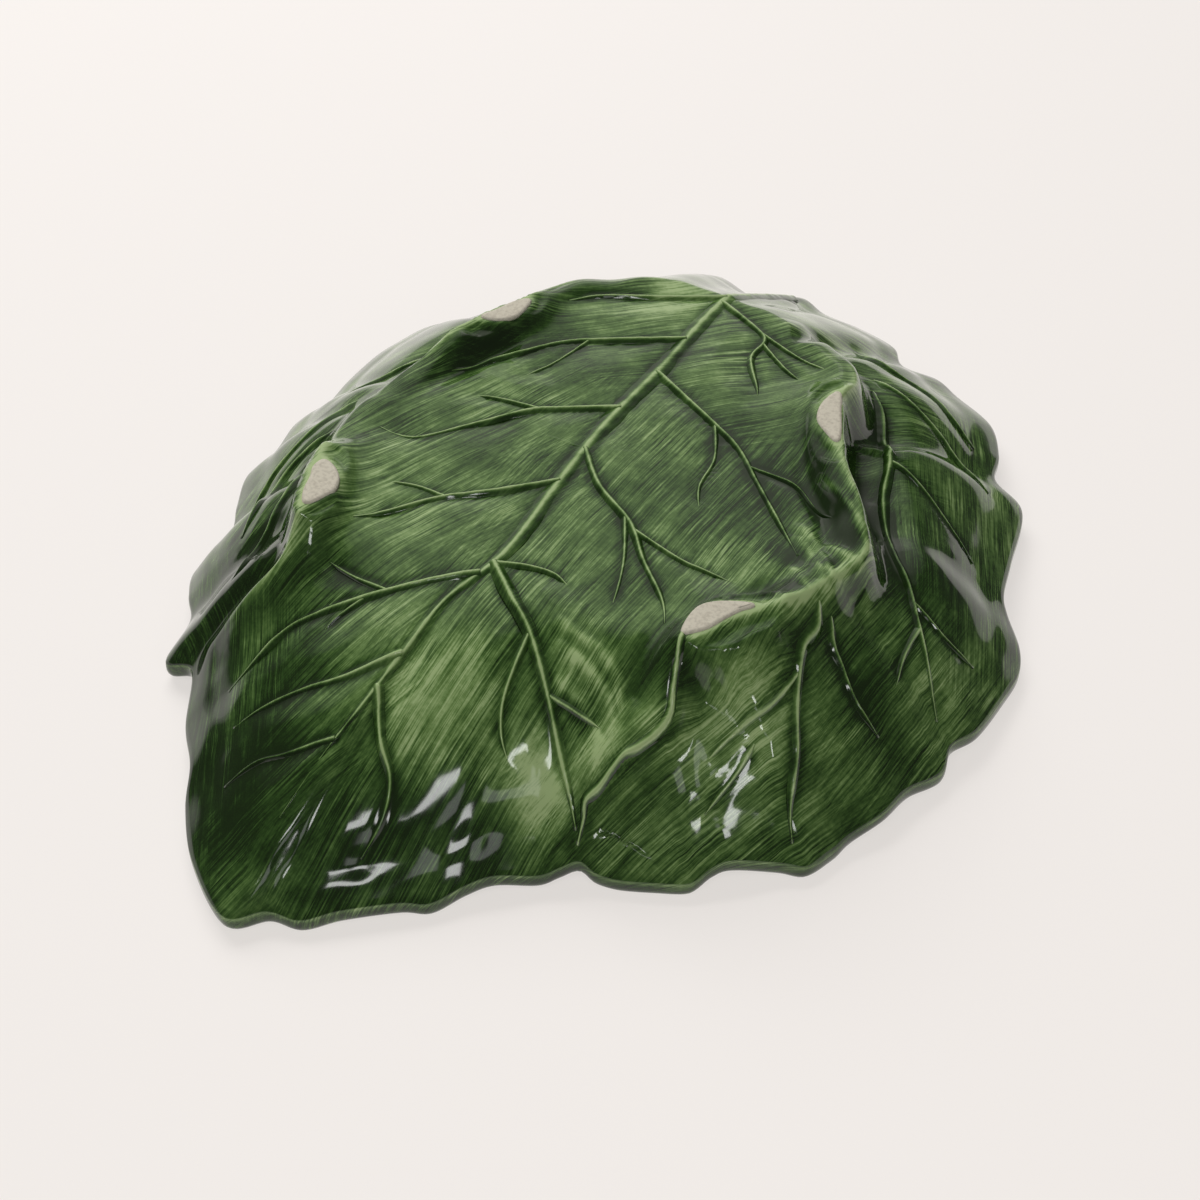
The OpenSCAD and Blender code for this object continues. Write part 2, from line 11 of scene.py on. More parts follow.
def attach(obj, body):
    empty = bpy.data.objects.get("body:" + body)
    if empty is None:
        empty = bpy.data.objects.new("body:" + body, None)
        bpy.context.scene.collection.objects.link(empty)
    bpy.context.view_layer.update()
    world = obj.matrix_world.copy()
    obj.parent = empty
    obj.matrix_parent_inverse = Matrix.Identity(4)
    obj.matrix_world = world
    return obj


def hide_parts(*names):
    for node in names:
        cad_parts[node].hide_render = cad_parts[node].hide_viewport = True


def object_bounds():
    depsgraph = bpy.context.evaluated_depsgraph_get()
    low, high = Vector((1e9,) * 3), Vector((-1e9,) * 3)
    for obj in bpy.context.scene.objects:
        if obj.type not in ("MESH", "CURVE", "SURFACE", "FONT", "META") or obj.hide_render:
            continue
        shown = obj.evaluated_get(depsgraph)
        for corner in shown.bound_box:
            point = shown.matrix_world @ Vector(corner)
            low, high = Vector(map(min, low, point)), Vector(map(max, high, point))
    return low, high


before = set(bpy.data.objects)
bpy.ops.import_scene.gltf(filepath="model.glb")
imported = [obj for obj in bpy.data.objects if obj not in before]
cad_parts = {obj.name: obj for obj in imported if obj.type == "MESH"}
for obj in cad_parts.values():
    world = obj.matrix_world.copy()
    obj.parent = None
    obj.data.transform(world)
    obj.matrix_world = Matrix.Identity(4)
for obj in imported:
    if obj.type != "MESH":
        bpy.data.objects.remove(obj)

bl_info = {
    "name": "Cabbage leaf plate",
    "version": (1, 0, 0),
    "blender": (4, 5, 0),
    "location": "View3D > Sidebar > Leaf plate",
    "description": "Builds a glazed cabbage leaf plate, face down, round its packed solids",
    "category": "Add Mesh",
}

CAD_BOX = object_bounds()
PLATE_SPAN = CAD_BOX[1] - CAD_BOX[0]
MM = 0.001
# Metres, further than any two points of the plate are apart
FAR = 1.0


def linear(hex_colour):
    """Linear red, green and blue of an sRGB hex colour."""
    shares = [int(hex_colour[i:i + 2], 16) / 255 for i in (1, 3, 5)]
    return tuple(c / 12.92 if c <= 0.04045 else ((c + 0.055) / 1.055) ** 2.4 for c in shares)


def amount_of(name, description, default, **settings):
    """An amount that a user can set."""
    return FloatProperty(name=name, description=description, default=default, min=0, **settings)


def length_of(name, description, default):
    """A length that a user can set, in metres."""
    return amount_of(name, description, default, unit="LENGTH")


def angle_of(name, description, degrees):
    """An angle that a user can set."""
    return FloatProperty(name=name, description=description, default=math.radians(degrees), subtype="ANGLE")


def vector_of(name, description, default, **settings):
    """A place or a way that a user can set."""
    return FloatVectorProperty(name=name, description=description, default=default, **settings)


def colour_of(name, description, hex_colour):
    """A colour that a user can set, given as sRGB hex."""
    return FloatVectorProperty(name=name, description=description, default=linear(hex_colour),
                               min=0, max=1, subtype="COLOR")


# Places in plan are shares of the reach from the heart of the leaf to its tip, across and along it.
# Outline of the rim: bearing in degrees, share of the reach, and share of rim_wave by which it is lifted
RIM_SHARES = [
    (2, 0.775, 0.2), (7, 0.78, 0), (11, 0.77, 0.2), (15.5, 0.74, 0.7), (19, 0.73, 1), (27, 0.75, 0.7),
    (38, 0.805, 0.3), (43, 0.775, 1), (48.5, 0.82, 0.7), (55, 0.86, 0.5), (62, 0.86, 0.5), (66, 0.86, 0.7),
    (70.5, 0.83, 1), (75, 0.885, 0.5), (81, 0.895, 0.5), (86, 0.89, 0.7), (90, 0.905, 1), (96, 0.91, 0),
    (102, 0.925, 0.8), (108, 0.905, 0.5), (114, 0.865, 0.8), (121, 0.86, 0.5), (127, 0.82, 0.8),
    (133, 0.81, 0.5), (138.5, 0.78, 0.8), (143.5, 0.8, 0.5), (149, 0.78, 0.5), (154, 0.75, 0.8),
    (161, 0.72, 0.7), (167, 0.7, 0.5), (174, 0.7, 0.7), (182, 0.68, 0.8), (188, 0.7, 0.5), (196, 0.68, 0.7),
    (203, 0.67, 0.8), (209, 0.725, 0), (215, 0.73, 0.3), (221, 0.73, 0.5), (227, 0.785, 0.2),
    (231, 0.75, 0.7), (239, 0.8, 0.3), (246, 0.84, 0.8), (250, 0.89, 0.2), (256, 0.95, 0.2), (263, 1, 0.2),
    (266, 0.955, 0.2), (269, 0.94, 0), (272, 0.9, 0.2), (277, 0.85, 0.2), (280, 0.83, 0), (283, 0.79, 0.3),
    (286, 0.765, 0.5), (291, 0.745, 0.2), (293.5, 0.735, 0.5), (296, 0.725, 0.7), (298, 0.735, 0.2),
    (301, 0.745, 0), (305, 0.755, 0), (309, 0.765, 0), (312, 0.755, 0.5), (314.5, 0.755, 0.7),
    (320, 0.77, 0.2), (323, 0.79, 0), (327, 0.78, 0), (330, 0.77, 0.2), (335, 0.77, 0.5), (340, 0.76, 0.5),
    (345.5, 0.77, 0.2), (349, 0.755, 0.7), (354, 0.77, 0.5)]
# Where the wall leaves the base, and the power of its curve, by bearing
BASE_EDGE_SHARES = [
    (0, 0.58), (30, 0.54), (60, 0.58), (90, 0.6), (120, 0.58), (150, 0.52), (180, 0.54), (220, 0.6),
    (240, 0.5), (263, 0.38), (285, 0.48), (300, 0.56), (320, 0.62)]
WALL_CURVE_SHARES = [
    (0, 1.5), (30, 1.25), (60, 1.1), (90, 1.05), (120, 1.1), (150, 1.2), (180, 1.5), (210, 1.6), (240, 1.6),
    (263, 1.55), (300, 1.6), (330, 1.6)]
# Crests of the folds: across, along, and shares of fold_rise, fold_drop, fold_outer and fold_hollow
RIGHT_FOLD_SHARES = [
    (0.32, -0.64, 0.1, 0, 1, 0), (0.3, -0.61, 0.4, 0.1, 1, 0), (0.32, -0.56, 0.7, 0.15, 1, 0.1),
    (0.35, -0.51, 0.7, 0.2, 1, 0.3), (0.37, -0.46, 0.7, 0.2, 1.1, 0.6), (0.36, -0.4, 1, 0.2, 1.4, 0.8),
    (0.37, -0.36, 1.8, 0.1, 2, 0.7), (0.385, -0.33, 2, 0, 2.6, 0.7), (0.4, -0.29, 2, 0, 2.8, 0.7),
    (0.43, -0.26, 1.7, 0, 2.6, 0.7), (0.455, -0.22, 0.9, 0.1, 2.2, 0.8), (0.48, -0.16, 0.6, 0.2, 1.6, 0.5),
    (0.5, -0.1, 0.6, 0.3, 1.2, 0.3), (0.52, -0.03, 0.6, 0.4, 1, 0.4), (0.49, 0.03, 0.7, 0.6, 1, 0.8),
    (0.45, 0.09, 0.8, 0.8, 1, 1), (0.4, 0.15, 1.1, 0.9, 1, 1), (0.375, 0.19, 1.5, 1, 1, 0.9),
    (0.35, 0.235, 1.5, 1, 1, 0.6), (0.335, 0.275, 1.4, 1, 1, 0.3), (0.32, 0.315, 1.2, 0.8, 1, 0.1),
    (0.33, 0.37, 0.8, 0.6, 1, 0), (0.3, 0.43, 0.6, 0.4, 1, 0), (0.24, 0.48, 0.4, 0.3, 1, 0),
    (0.19, 0.51, 0.3, 0.2, 1, 0), (0.13, 0.55, 0, 0, 1, 0)]
LEFT_FOLD_SHARES = [
    (-0.44, -0.61, 0.1, 0, 1, 0), (-0.43, -0.56, 0.4, 0.1, 1, 0), (-0.39, -0.51, 0.7, 0.1, 1, 0),
    (-0.35, -0.46, 0.9, 0.1, 1, 0.2), (-0.345, -0.41, 1.4, 0.2, 1.1, 0.2), (-0.355, -0.37, 2, 0.2, 1.2, 0.2),
    (-0.37, -0.34, 2, 0.2, 1.3, 0.2), (-0.38, -0.305, 2, 0.2, 1.3, 0.2), (-0.395, -0.265, 1.6, 0.2, 1.2, 0.2),
    (-0.415, -0.21, 0.8, 0.2, 1.1, 0.1), (-0.435, -0.145, 0.5, 0.1, 1, 0), (-0.44, -0.09, 0.4, 0.1, 1, 0),
    (-0.43, -0.02, 0.4, 0.1, 1, 0.1), (-0.41, 0.06, 0.5, 0.3, 1, 0.4), (-0.39, 0.13, 0.9, 0.6, 1, 1),
    (-0.375, 0.185, 1.4, 1, 1, 1.2), (-0.355, 0.225, 1.6, 1, 1, 1.2), (-0.34, 0.26, 1.6, 1, 1, 0.8),
    (-0.32, 0.3, 1.4, 0.8, 1, 0.3), (-0.31, 0.34, 0.8, 0.6, 1, 0.2), (-0.3, 0.42, 0.6, 0.4, 1, 0),
    (-0.24, 0.48, 0.4, 0.3, 1, 0), (-0.19, 0.51, 0.3, 0.2, 1, 0), (-0.13, 0.55, 0, 0, 1, 0)]
# Outlines of the bare pads on the crests
PAD_SHARES = {
    "left_front_foot": [
        (-0.38, -0.27), (-0.355, -0.28), (-0.335, -0.3), (-0.325, -0.325), (-0.33, -0.345), (-0.34, -0.37),
        (-0.35, -0.375), (-0.365, -0.35), (-0.375, -0.315), (-0.385, -0.29)],
    "left_back_foot": [
        (-0.355, 0.225), (-0.34, 0.255), (-0.325, 0.29), (-0.305, 0.31), (-0.3, 0.28), (-0.305, 0.25),
        (-0.325, 0.23)],
    "right_front_foot": [
        (0.35, -0.365), (0.345, -0.33), (0.35, -0.3), (0.37, -0.28), (0.4, -0.265), (0.42, -0.26),
        (0.405, -0.28), (0.39, -0.31), (0.38, -0.335), (0.365, -0.355)],
    "right_back_foot": [
        (0.32, 0.315), (0.31, 0.29), (0.31, 0.26), (0.32, 0.23), (0.34, 0.21), (0.37, 0.19), (0.36, 0.225),
        (0.34, 0.27)]}
# The midrib, from the stem end to the tip
MIDRIB_SHARES = [
    (0, 0.86), (0, 0.72), (0, 0.59), (-0.01, 0.45), (-0.01, 0.28), (-0.02, 0.08), (-0.015, -0.12),
    (-0.01, -0.27), (-0.02, -0.35), (-0.045, -0.44), (-0.055, -0.54), (-0.07, -0.64), (-0.09, -0.74),
    (-0.11, -0.86)]
# Girths along the way: the midrib's, which forks where it thins, and those of veins and creases
MIDRIB_GIRTHS = ((0, 0.75), (0.3, 0.95), (0.55, 1), (0.66, 0.7), (0.74, 0.42), (1, 0.25))
VEIN_GIRTHS = ((0, 1), (1, 0.5))
CREASE_GIRTHS = ((0, 1), (1, 0.7))
# Veins by node: whether they fork from the midrib, then each one's share of the full girth, its route, and
# its twigs with their own share and route
VEIN_SHARES = {
    "left_base_veins": (True, [
        (0.9, [(0, 0.54), (-0.13, 0.47), (-0.22, 0.42), (-0.27, 0.36)], []),
        (1, [(-0.01, 0.38), (-0.15, 0.3), (-0.21, 0.26), (-0.26, 0.2), (-0.33, 0.12), (-0.36, 0.07)],
         [(0.6, [(-0.165, 0.29), (-0.19, 0.2), (-0.22, 0.14)])]),
        (1, [(-0.02, 0.13), (-0.11, 0.08), (-0.16, 0.05), (-0.23, -0.03), (-0.3, -0.105), (-0.37, -0.11)],
         [(0.6, [(-0.14, 0.06), (-0.22, 0.06), (-0.27, 0.05)])]),
        (1, [(-0.02, -0.1), (-0.1, -0.17), (-0.18, -0.23), (-0.24, -0.3), (-0.28, -0.34)],
         [(0.6, [(-0.17, -0.22), (-0.23, -0.22), (-0.28, -0.23)])])]),
    "right_base_veins": (True, [
        (0.9, [(0, 0.52), (0.09, 0.47), (0.12, 0.44), (0.12, 0.38), (0.17, 0.3), (0.18, 0.27)],
         [(0.6, [(0.12, 0.43), (0.19, 0.38), (0.23, 0.36)]), (0.6, [(0.1, 0.46), (0.2, 0.42), (0.27, 0.4)])]),
        (1, [(-0.01, 0.26), (0.11, 0.19), (0.21, 0.13), (0.28, 0.06), (0.35, -0.01), (0.42, -0.08)],
         [(0.6, [(0.15, 0.17), (0.19, 0.08), (0.2, 0), (0.23, -0.06)]),
          (0.6, [(0.25, 0.09), (0.34, 0.085), (0.39, 0.055), (0.44, 0.03)])]),
        (1, [(-0.02, 0), (0.05, -0.08), (0.14, -0.14), (0.2, -0.21), (0.27, -0.28), (0.3, -0.33)],
         [(0.6, [(0.12, -0.13), (0.17, -0.22), (0.195, -0.29), (0.21, -0.35)]),
          (0.6, [(0.15, -0.15), (0.25, -0.18), (0.3, -0.185), (0.35, -0.19)])])]),
    "left_tip_veins": (True, [
        (1.1, [(-0.02, -0.36), (-0.11, -0.43), (-0.18, -0.48), (-0.24, -0.52), (-0.29, -0.56),
               (-0.34, -0.65)],
         [(0.6, [(-0.14, -0.455), (-0.21, -0.445), (-0.27, -0.43)]),
          (0.6, [(-0.17, -0.47), (-0.2, -0.52), (-0.21, -0.55)])]),
        (0.9, [(-0.055, -0.55), (-0.12, -0.61), (-0.19, -0.65), (-0.25, -0.685), (-0.285, -0.715)], []),
        (0.7, [(-0.09, -0.71), (-0.15, -0.75), (-0.2, -0.77), (-0.24, -0.81)], []),
        (0.9, [(-0.065, -0.61), (-0.02, -0.68), (0.02, -0.72), (0.035, -0.77), (0.03, -0.83)], [])]),
    "right_tip_veins": (True, [
        (1.2, [(-0.015, -0.33), (0.05, -0.385), (0.11, -0.43), (0.17, -0.49), (0.23, -0.555), (0.3, -0.63)],
         [(0.6, [(0.18, -0.5), (0.24, -0.505), (0.28, -0.51)]),
          (0.7, [(0.11, -0.43), (0.12, -0.53), (0.14, -0.58), (0.17, -0.61)])]),
        (0.7, [(-0.015, -0.33), (0.038, -0.31), (0.084, -0.306), (0.12, -0.32)], [])]),
    "left_lobe_veins": (False, [
        (1, [(-0.35, 0.44), (-0.39, 0.38), (-0.43, 0.31), (-0.47, 0.21), (-0.52, 0.12), (-0.58, 0.05)], []),
        (0.7, [(-0.3, 0.53), (-0.37, 0.52), (-0.45, 0.5), (-0.52, 0.45)], []),
        (0.9, [(-0.5, 0.02), (-0.54, -0.09), (-0.57, -0.16), (-0.58, -0.25)], []),
        (0.9, [(-0.48, -0.1), (-0.53, -0.19), (-0.52, -0.3), (-0.51, -0.36)], []),
        (0.9, [(-0.46, -0.2), (-0.46, -0.3), (-0.45, -0.38), (-0.46, -0.48)], [])]),
    "right_lobe_veins": (False, [
        (1, [(0.492, -0.155), (0.507, -0.2), (0.505, -0.25), (0.53, -0.32), (0.56, -0.38), (0.58, -0.44),
             (0.6, -0.47)],
         [(0.6, [(0.515, -0.28), (0.5, -0.36), (0.475, -0.4), (0.455, -0.44), (0.44, -0.48)])]),
        (0.5, [(0.5, -0.41), (0.49, -0.46), (0.47, -0.52)], []),
        (0.9, [(0.515, -0.155), (0.53, -0.185), (0.56, -0.21), (0.6, -0.24), (0.65, -0.25)], []),
        (1.1, [(0.315, 0.495), (0.36, 0.44), (0.39, 0.38), (0.43, 0.31), (0.46, 0.21), (0.52, 0.1),
               (0.58, 0.03), (0.63, -0.04), (0.71, -0.14)],
         [(0.6, [(0.43, 0.31), (0.49, 0.295), (0.54, 0.275), (0.63, 0.23)]),
          (0.6, [(0.6, 0), (0.66, -0.01), (0.72, 0)]),
          (0.6, [(0.63, -0.04), (0.63, -0.11), (0.64, -0.16)])]),
        (0.8, [(0.22, 0.65), (0.28, 0.63), (0.39, 0.62), (0.45, 0.59), (0.51, 0.56)], []),
        (0.8, [(0.3, 0.53), (0.37, 0.52), (0.45, 0.5), (0.52, 0.47), (0.58, 0.45)], [])])}
# Crests seen from the heart: bearing, and share of the way to the rim
CREST_WAY_SHARES = [
    (0, 0.66), (11, 0.59), (27, 0.56), (39, 0.54), (48, 0.6), (63, 0.63), (90, 0.64), (117, 0.62),
    (132, 0.57), (148, 0.53), (162, 0.57), (172, 0.59), (192, 0.65), (219, 0.66), (230, 0.7), (240, 0.6),
    (265, 0.52), (295, 0.6), (304, 0.72), (315, 0.69), (324, 0.635), (334, 0.665), (350, 0.68)]
# Thin ridges pinched into the clay by the right fold: width and height in millimetres, and their way
CREASE_SHARES = [
    (2.9, 1.4, [(0.345, -0.357), (0.353, -0.38), (0.36, -0.41), (0.368, -0.437), (0.376, -0.462),
                (0.37, -0.487), (0.35, -0.516), (0.334, -0.532), (0.324, -0.552), (0.314, -0.576),
                (0.3, -0.597), (0.305, -0.614), (0.308, -0.64)])]
# How much thinner the glaze is along the top of such a ridge
CREASE_THIN = 0.35
# Soft knuckles and wrinkles in the clay: reach and height in millimetres, how thin the glaze is, their way
KNUCKLE_SHARES = [
    (2.1, 0.8, 0.28, [(0.4, -0.252), (0.443, -0.225), (0.469, -0.196), (0.479, -0.159), (0.498, -0.12),
                     (0.508, -0.083), (0.515, -0.05), (0.514, -0.015), (0.5, 0.02)]),
    (2.6, 0.8, 0.4, [(0.515, -0.05), (0.49, -0.05), (0.465, -0.042)]),
    (1.6, 1.0, 0.42, [(0.496, -0.112), (0.46, -0.073), (0.425, -0.034), (0.4, -0.015)]),
    (1.4, 0.9, 0.38, [(0.485, -0.125), (0.461, -0.093), (0.436, -0.067), (0.41, -0.041)]),
    (1.8, 0.8, 0.25, [(0.512, -0.07), (0.535, -0.045), (0.545, -0.065), (0.552, -0.09)]),
    (1.5, 0.6, 0.35, [(0.478, -0.16), (0.46, -0.15), (0.43, -0.118)]),
    (1.4, 0.8, 0.45, [(0.38, 0.108), (0.423, 0.076), (0.46, 0.047), (0.487, 0.019), (0.512, -0.01)]),
    (1.7, 0.5, 0.3, [(0.15, -0.395), (0.18, -0.407), (0.23, -0.419), (0.277, -0.446), (0.295, -0.475)]),
    (1.7, 0.5, 0.3, [(0.167, -0.432), (0.229, -0.449), (0.278, -0.475), (0.3, -0.51)]),
    (1.6, 0.45, 0.25, [(0.191, -0.478), (0.245, -0.496), (0.29, -0.531), (0.3, -0.565)])]
# Soft places where the colour is made darker (above zero) or paler (below zero): across, along, reach,
# strength.
# Most are glaze that lies thick or was wiped thin. Some are painted shade, on the front walls and where faces
# would mirror the bright floor or room, and one is a painted sheen at the back of the leaf.
GLAZE_POOL_AND_PAINTED_LIGHT_SHARES = [
    (-0.4, -0.6, 0.2, 0.25), (-0.2, -0.82, 0.14, 0.45), (0.02, -0.8, 0.1, 0.3), (0.15, -0.71, 0.08, 0.3),
    (0.225, -0.61, 0.06, -0.5), (0.28, -0.53, 0.06, -0.1), (0.5, -0.2, 0.04, -0.1),
    (0.405, -0.088, 0.03, 0.6), (0.485, -0.012, 0.025, 0.6), (0.478, -0.085, 0.011, 0.6),
    (0.42, 0.045, 0.035, 0.5), (0.439, -0.176, 0.028, 0.45), (0.31, -0.05, 0.1, 0.12),
    (0.345, -0.48, 0.025, -0.35), (0.3, -0.53, 0.03, -0.3), (-0.09, 0.49, 0.08, -0.3),
    (-0.14, 0.4, 0.08, -0.15), (0.2, 0.15, 0.07, 0.25), (-0.1, -0.2, 0.1, -0.08), (0.384, -0.407, 0.03, 0.35),
    (0.41, -0.345, 0.03, 0.3), (0.45, -0.3, 0.03, 0.2), (0.556, -0.372, 0.03, 0.25),
    (0.46, -0.4, 0.08, -0.38), (0.04, -0.6, 0.08, -0.3), (-0.05, -0.55, 0.1, -0.2),
    (-0.35, -0.5, 0.06, -0.15), (-0.2, -0.62, 0.05, 0.12), (0.62, -0.22, 0.08, 0.25), (0.3, 0.1, 0.08, 0.2),
    (-0.2, -0.2, 0.12, -0.1), (-0.3, 0.27, 0.07, 0.25), (-0.46, -0.45, 0.12, 0.3), (0.05, 0.62, 0.15, -0.15),
    (-0.12, -0.6, 0.06, -0.1), (-0.235, 0.104, 0.08, -0.15), (0.6, 0.15, 0.13, 0.32),
    (0.5, -0.36, 0.05, -0.12)]

# Section of a vein: share of the half width across, share of the height upwards, and how thick the glaze lies
CORD_SECTION = [
    (-1.5, -1, 0.24), (-1.2, -0.2, 0.24), (-0.95, 0.12, 0.28), (-0.7, 0.4, 0.24), (-0.42, 0.72, 0.05),
    (-0.2, 0.94, -0.3), (0, 1, -0.5), (0.2, 0.94, -0.3), (0.42, 0.72, 0.04), (0.7, 0.4, 0.28),
    (0.95, 0.12, 0.3), (1.2, -0.2, 0.26), (1.5, -1, 0.24), (0, -1, 0.24)]
# How uneven its top is, in metres, and how uneven the glaze on it is
CORD_WAVE, CORD_GLAZE_WAVE = 0.04 * MM, 0.1

# Unevenness of hand work: millimetres from hill to hill, and the seed of its random turns
WAVES = {
    "vein_girth": (9, 11), "vein_crest": (4.5, 5), "vein_glaze": (7, 9), "knuckle_glaze": (5.5, 21),
    "blade": (38, 3), "fine_blade": (15, 8)}
# Lines of the form along which the glaze lies thick (above zero) or thin: strength, then how many millimetres
# away from the line that is, and how far it reaches. The paleness along a fold's crest and its flank is thin
# glaze and partly a painted highlight.
GLAZE_LINES = {
    "vein_side": (0.34, 0, 1.7), "valley": (0.55, 0, 5), "hollow": (0.4, 0, 5.5), "crest": (-0.3, 0, 1.1),
    "crest_side_and_highlight": (-0.3, -0.3, 2.6), "pad_edge": (-0.3, 1.3, 1.2)}
# On the rim the glaze runs together between two shares of the way there, and is thin round a third one
RIM_POOL, RIM_POOL_WAYS = 0.2, (0.94, 0.99)
RIM_THIN, RIM_THIN_WAY, RIM_THIN_REACH = 0.15, 0.985, 0.012
# How much thicker the glaze is on a crease's flank, for each millimetre of its height
CREASE_POOL = 0.2

GLAZE_NAME = "brushed_majolica_glaze"
# How much the strokes of the brush show on a vein, against the blade
VEIN_BRUSH = 0.35
# Strokes of the brush: millimetres from one bristle line to the next and along it, and their detail
BRUSH_STROKES = {"hair": (0.55, 22, 2.0), "fine": (1.4, 35, 3.0), "broad": (5.5, 50, 3.0)}
# Which way the brush went: degrees it is turned, and the millimetres across (X) and along (Y) between which
# that begins and is full. It went along the leaf, slanting on the left, across at the stem, the other way on
# the right lobe, flatter on the front right one, and down the front left wall.
BRUSH_ZONES = [
    (85, {}), (66, {"X": (-7.5, -32.5)}), (42, {"Y": (26.67, 60)}), (116, {"X": (64, 84), "Y": (5, 30)}),
    (68, {"X": (35, 55), "Y": (-35, -60)}), (120, {"X": (-43.33, -60), "Y": (-65, -90)})]
# Metres by which the edges of those zones wander
ZONE_WANDER = 80 * MM
# Unevenness of the glaze: millimetres from hill to hill, detail and roughness
GLAZE_NOISES = {
    "grain": (1.613, 3.0, 0.65), "mottle": (20.83, 6.0, 0.66), "patch": (14.29, 2.0, 0.5),
    "ripple": (16.67, 1.5, 0.4), "wander": (35.71, 2.0, 0.5)}
# Grains of the clay, drawn about twice as coarse as real ones so that they show
CLAY_GRAIN = 1.111 * MM


class PlateSizes(bpy.types.PropertyGroup):
    """Sizes of the plate."""

    leaf_length: length_of("Length", "From the tip to the stem end", PLATE_SPAN.y)
    leaf_width: length_of("Width", "Across the widest lobes", PLATE_SPAN.x)
    foot_height: length_of("Height", "From the rim to the pads on the feet", PLATE_SPAN.z)
    wall: length_of("Wall", "Thickness of the clay", 5 * MM)
    base_crown: length_of("Crown", "Rise of the base in its middle", 1.5 * MM)
    rim_edge: length_of("Rim edge", "Height of the edge of the clay round the rim", 5.5 * MM)
    rim_wave: length_of("Rim wave", "Rise of the rim between the lobes that it rests on", 6 * MM)
    fold_rise: length_of("Fold rise", "Height of the feet above the base", 7 * MM)
    fold_drop: length_of("Fold drop", "Depth of the valley outside a fold", 11 * MM)
    fold_inner: length_of("Fold reach", "Reach of a fold towards the middle", 9.5 * MM)
    fold_outer: length_of("Fold side", "Width of a fold's steep outer side", 7 * MM)
    fold_hollow: length_of("Fold hollow", "Depth of the hollow at a fold's inner foot", 3 * MM)
    fold_pinch: length_of("Fold pinch", "Height of the narrow pinched ridge on a fold's crest", 1.0 * MM)
    pad_apron: length_of("Pad apron", "Fall of the clay away from a pad's edge", 2 * MM)
    valley_reach: length_of("Valley reach", "Reach of the valley beyond that side", 10 * MM)
    pad_height: length_of("Pad height", "Thickness of the bare pad on each foot", 0.8 * MM)
    midrib_width: length_of("Midrib width", "Width of the midrib where it is broadest", 5.4 * MM)
    midrib_height: length_of("Midrib height", "Height of the midrib where it is broadest", 0.9 * MM)
    vein_width: length_of("Vein width", "Width of a main vein at its root", 3.1 * MM)
    vein_height: length_of("Vein height", "Height of a main vein at its root", 1.25 * MM)
    vein_root: length_of("Vein root", "Depth of a vein's foot in the clay", 0.6 * MM)
    blade_puff: length_of("Blade puff", "Swell of the blade between its veins", 0.7 * MM)
    blade_wave: length_of("Blade wave", "Unevenness of the hand pressed clay", 0.34 * MM)
    groove: length_of("Groove", "Depth of the groove beside a vein", 0.22 * MM)
    columns: IntProperty(name="Columns", description="Columns of the leaf's mesh", default=740, min=60)


class GlazeColours(bpy.types.PropertyGroup):
    """Colours of the glaze and the clay."""

    # The darker colours also show painted shade, and the paler ones painted sheen and painted crest
    # highlights, where the listed spots and lines put them
    pooled: colour_of("Pooled glaze", "Where the glaze lies thickest", "#101e07")
    thick: colour_of("Thick glaze", "A full coat of green", "#213a13")
    brushed: colour_of("Brushed glaze", "The usual green between two strokes", "#3f5a2a")
    light: colour_of("Light glaze", "Green that was brushed thin", "#68844a")
    thin: colour_of("Thin glaze", "Pale green over the body on ridges", "#9db07d")
    clay: colour_of("Bare clay", "The fired body on the ground pads", "#c0baaa")
    clay_shade: colour_of("Clay speck", "Darker grains in the clay", "#a8a192")


class StageSettings(bpy.types.PropertyGroup):
    """Floor, lamps and camera."""

    floor_colour: colour_of("Floor", "Colour of the floor and the backdrop", "#f2ede9")
    floor_glow: amount_of("Floor glow", "Share of the floor's own pale light", 0.7, max=1)
    floor_size: length_of("Floor size", "Side of the floor", 30.0)
    key_power: amount_of("Key lamp", "Power of the large soft lamp", 18, unit="POWER")
    fill_power: amount_of("Fill lamp", "Power of the lamp in front", 6, unit="POWER")
    window_power: amount_of("Window lamp", "Power of the small bright window", 0.5, unit="POWER")
    above_power: amount_of("Upper window", "Power of the smaller window above it", 0.28, unit="POWER")
    panel_power: amount_of("Panel lamp", "Power of the dim panel by the camera", 0.1, unit="POWER")
    room_dim: amount_of("Room", "Light of the room overhead", 0.1)
    sheen: amount_of("Sheen", "Light of the soft sheen behind the leaf", 0.9)
    sheen_way: vector_of("Sheen's way", "Way to the soft sheen behind the leaf", (-0.3918, 0.8403, 0.3746))
    haze: amount_of("Haze", "Light of the broad haze on the left", 0.66)
    haze_way: vector_of("Haze's way", "Way to the broad haze on the left", (-0.498, 0.638, 0.588))
    view_azimuth: angle_of("Azimuth", "Camera's turn round the plate", 27.886)
    view_elevation: angle_of("Elevation", "Camera's angle above the floor", 42.318)
    view_distance: length_of("Distance", "From the camera to what it looks at", 0.65366)
    view_target: vector_of("Target", "What the camera looks at", (0.011841, -0.025182, 0.025), unit="LENGTH")
    focal_length: amount_of("Focal length", "Lens in millimetres", 66.0)


def between(a, b, c, d, t):
    """Curve through four points, from the second at t = 0 to the third at t = 1."""
    return (2 * b + (c - a) * t + (2 * a - 5 * b + 4 * c - d) * t * t + (3 * b - a - 3 * c + d) * t ** 3) / 2


def path_through(points, steps, closed=False):
    """Curve through points, with a number of steps from each to the next."""
    points = np.array(points, float)
    before, after = (points[-1:], points[:2]) if closed else (points[:1], points[-1:])
    held = np.vstack([before, points, after])
    a, b, c, d = (held[i:len(held) - 3 + i, None] for i in range(4))
    t = (np.arange(steps) / steps)[None, :, None]
    curve = between(a, b, c, d, t).reshape(-1, points.shape[1])
    return curve if closed else np.vstack([curve, points[-1:]])


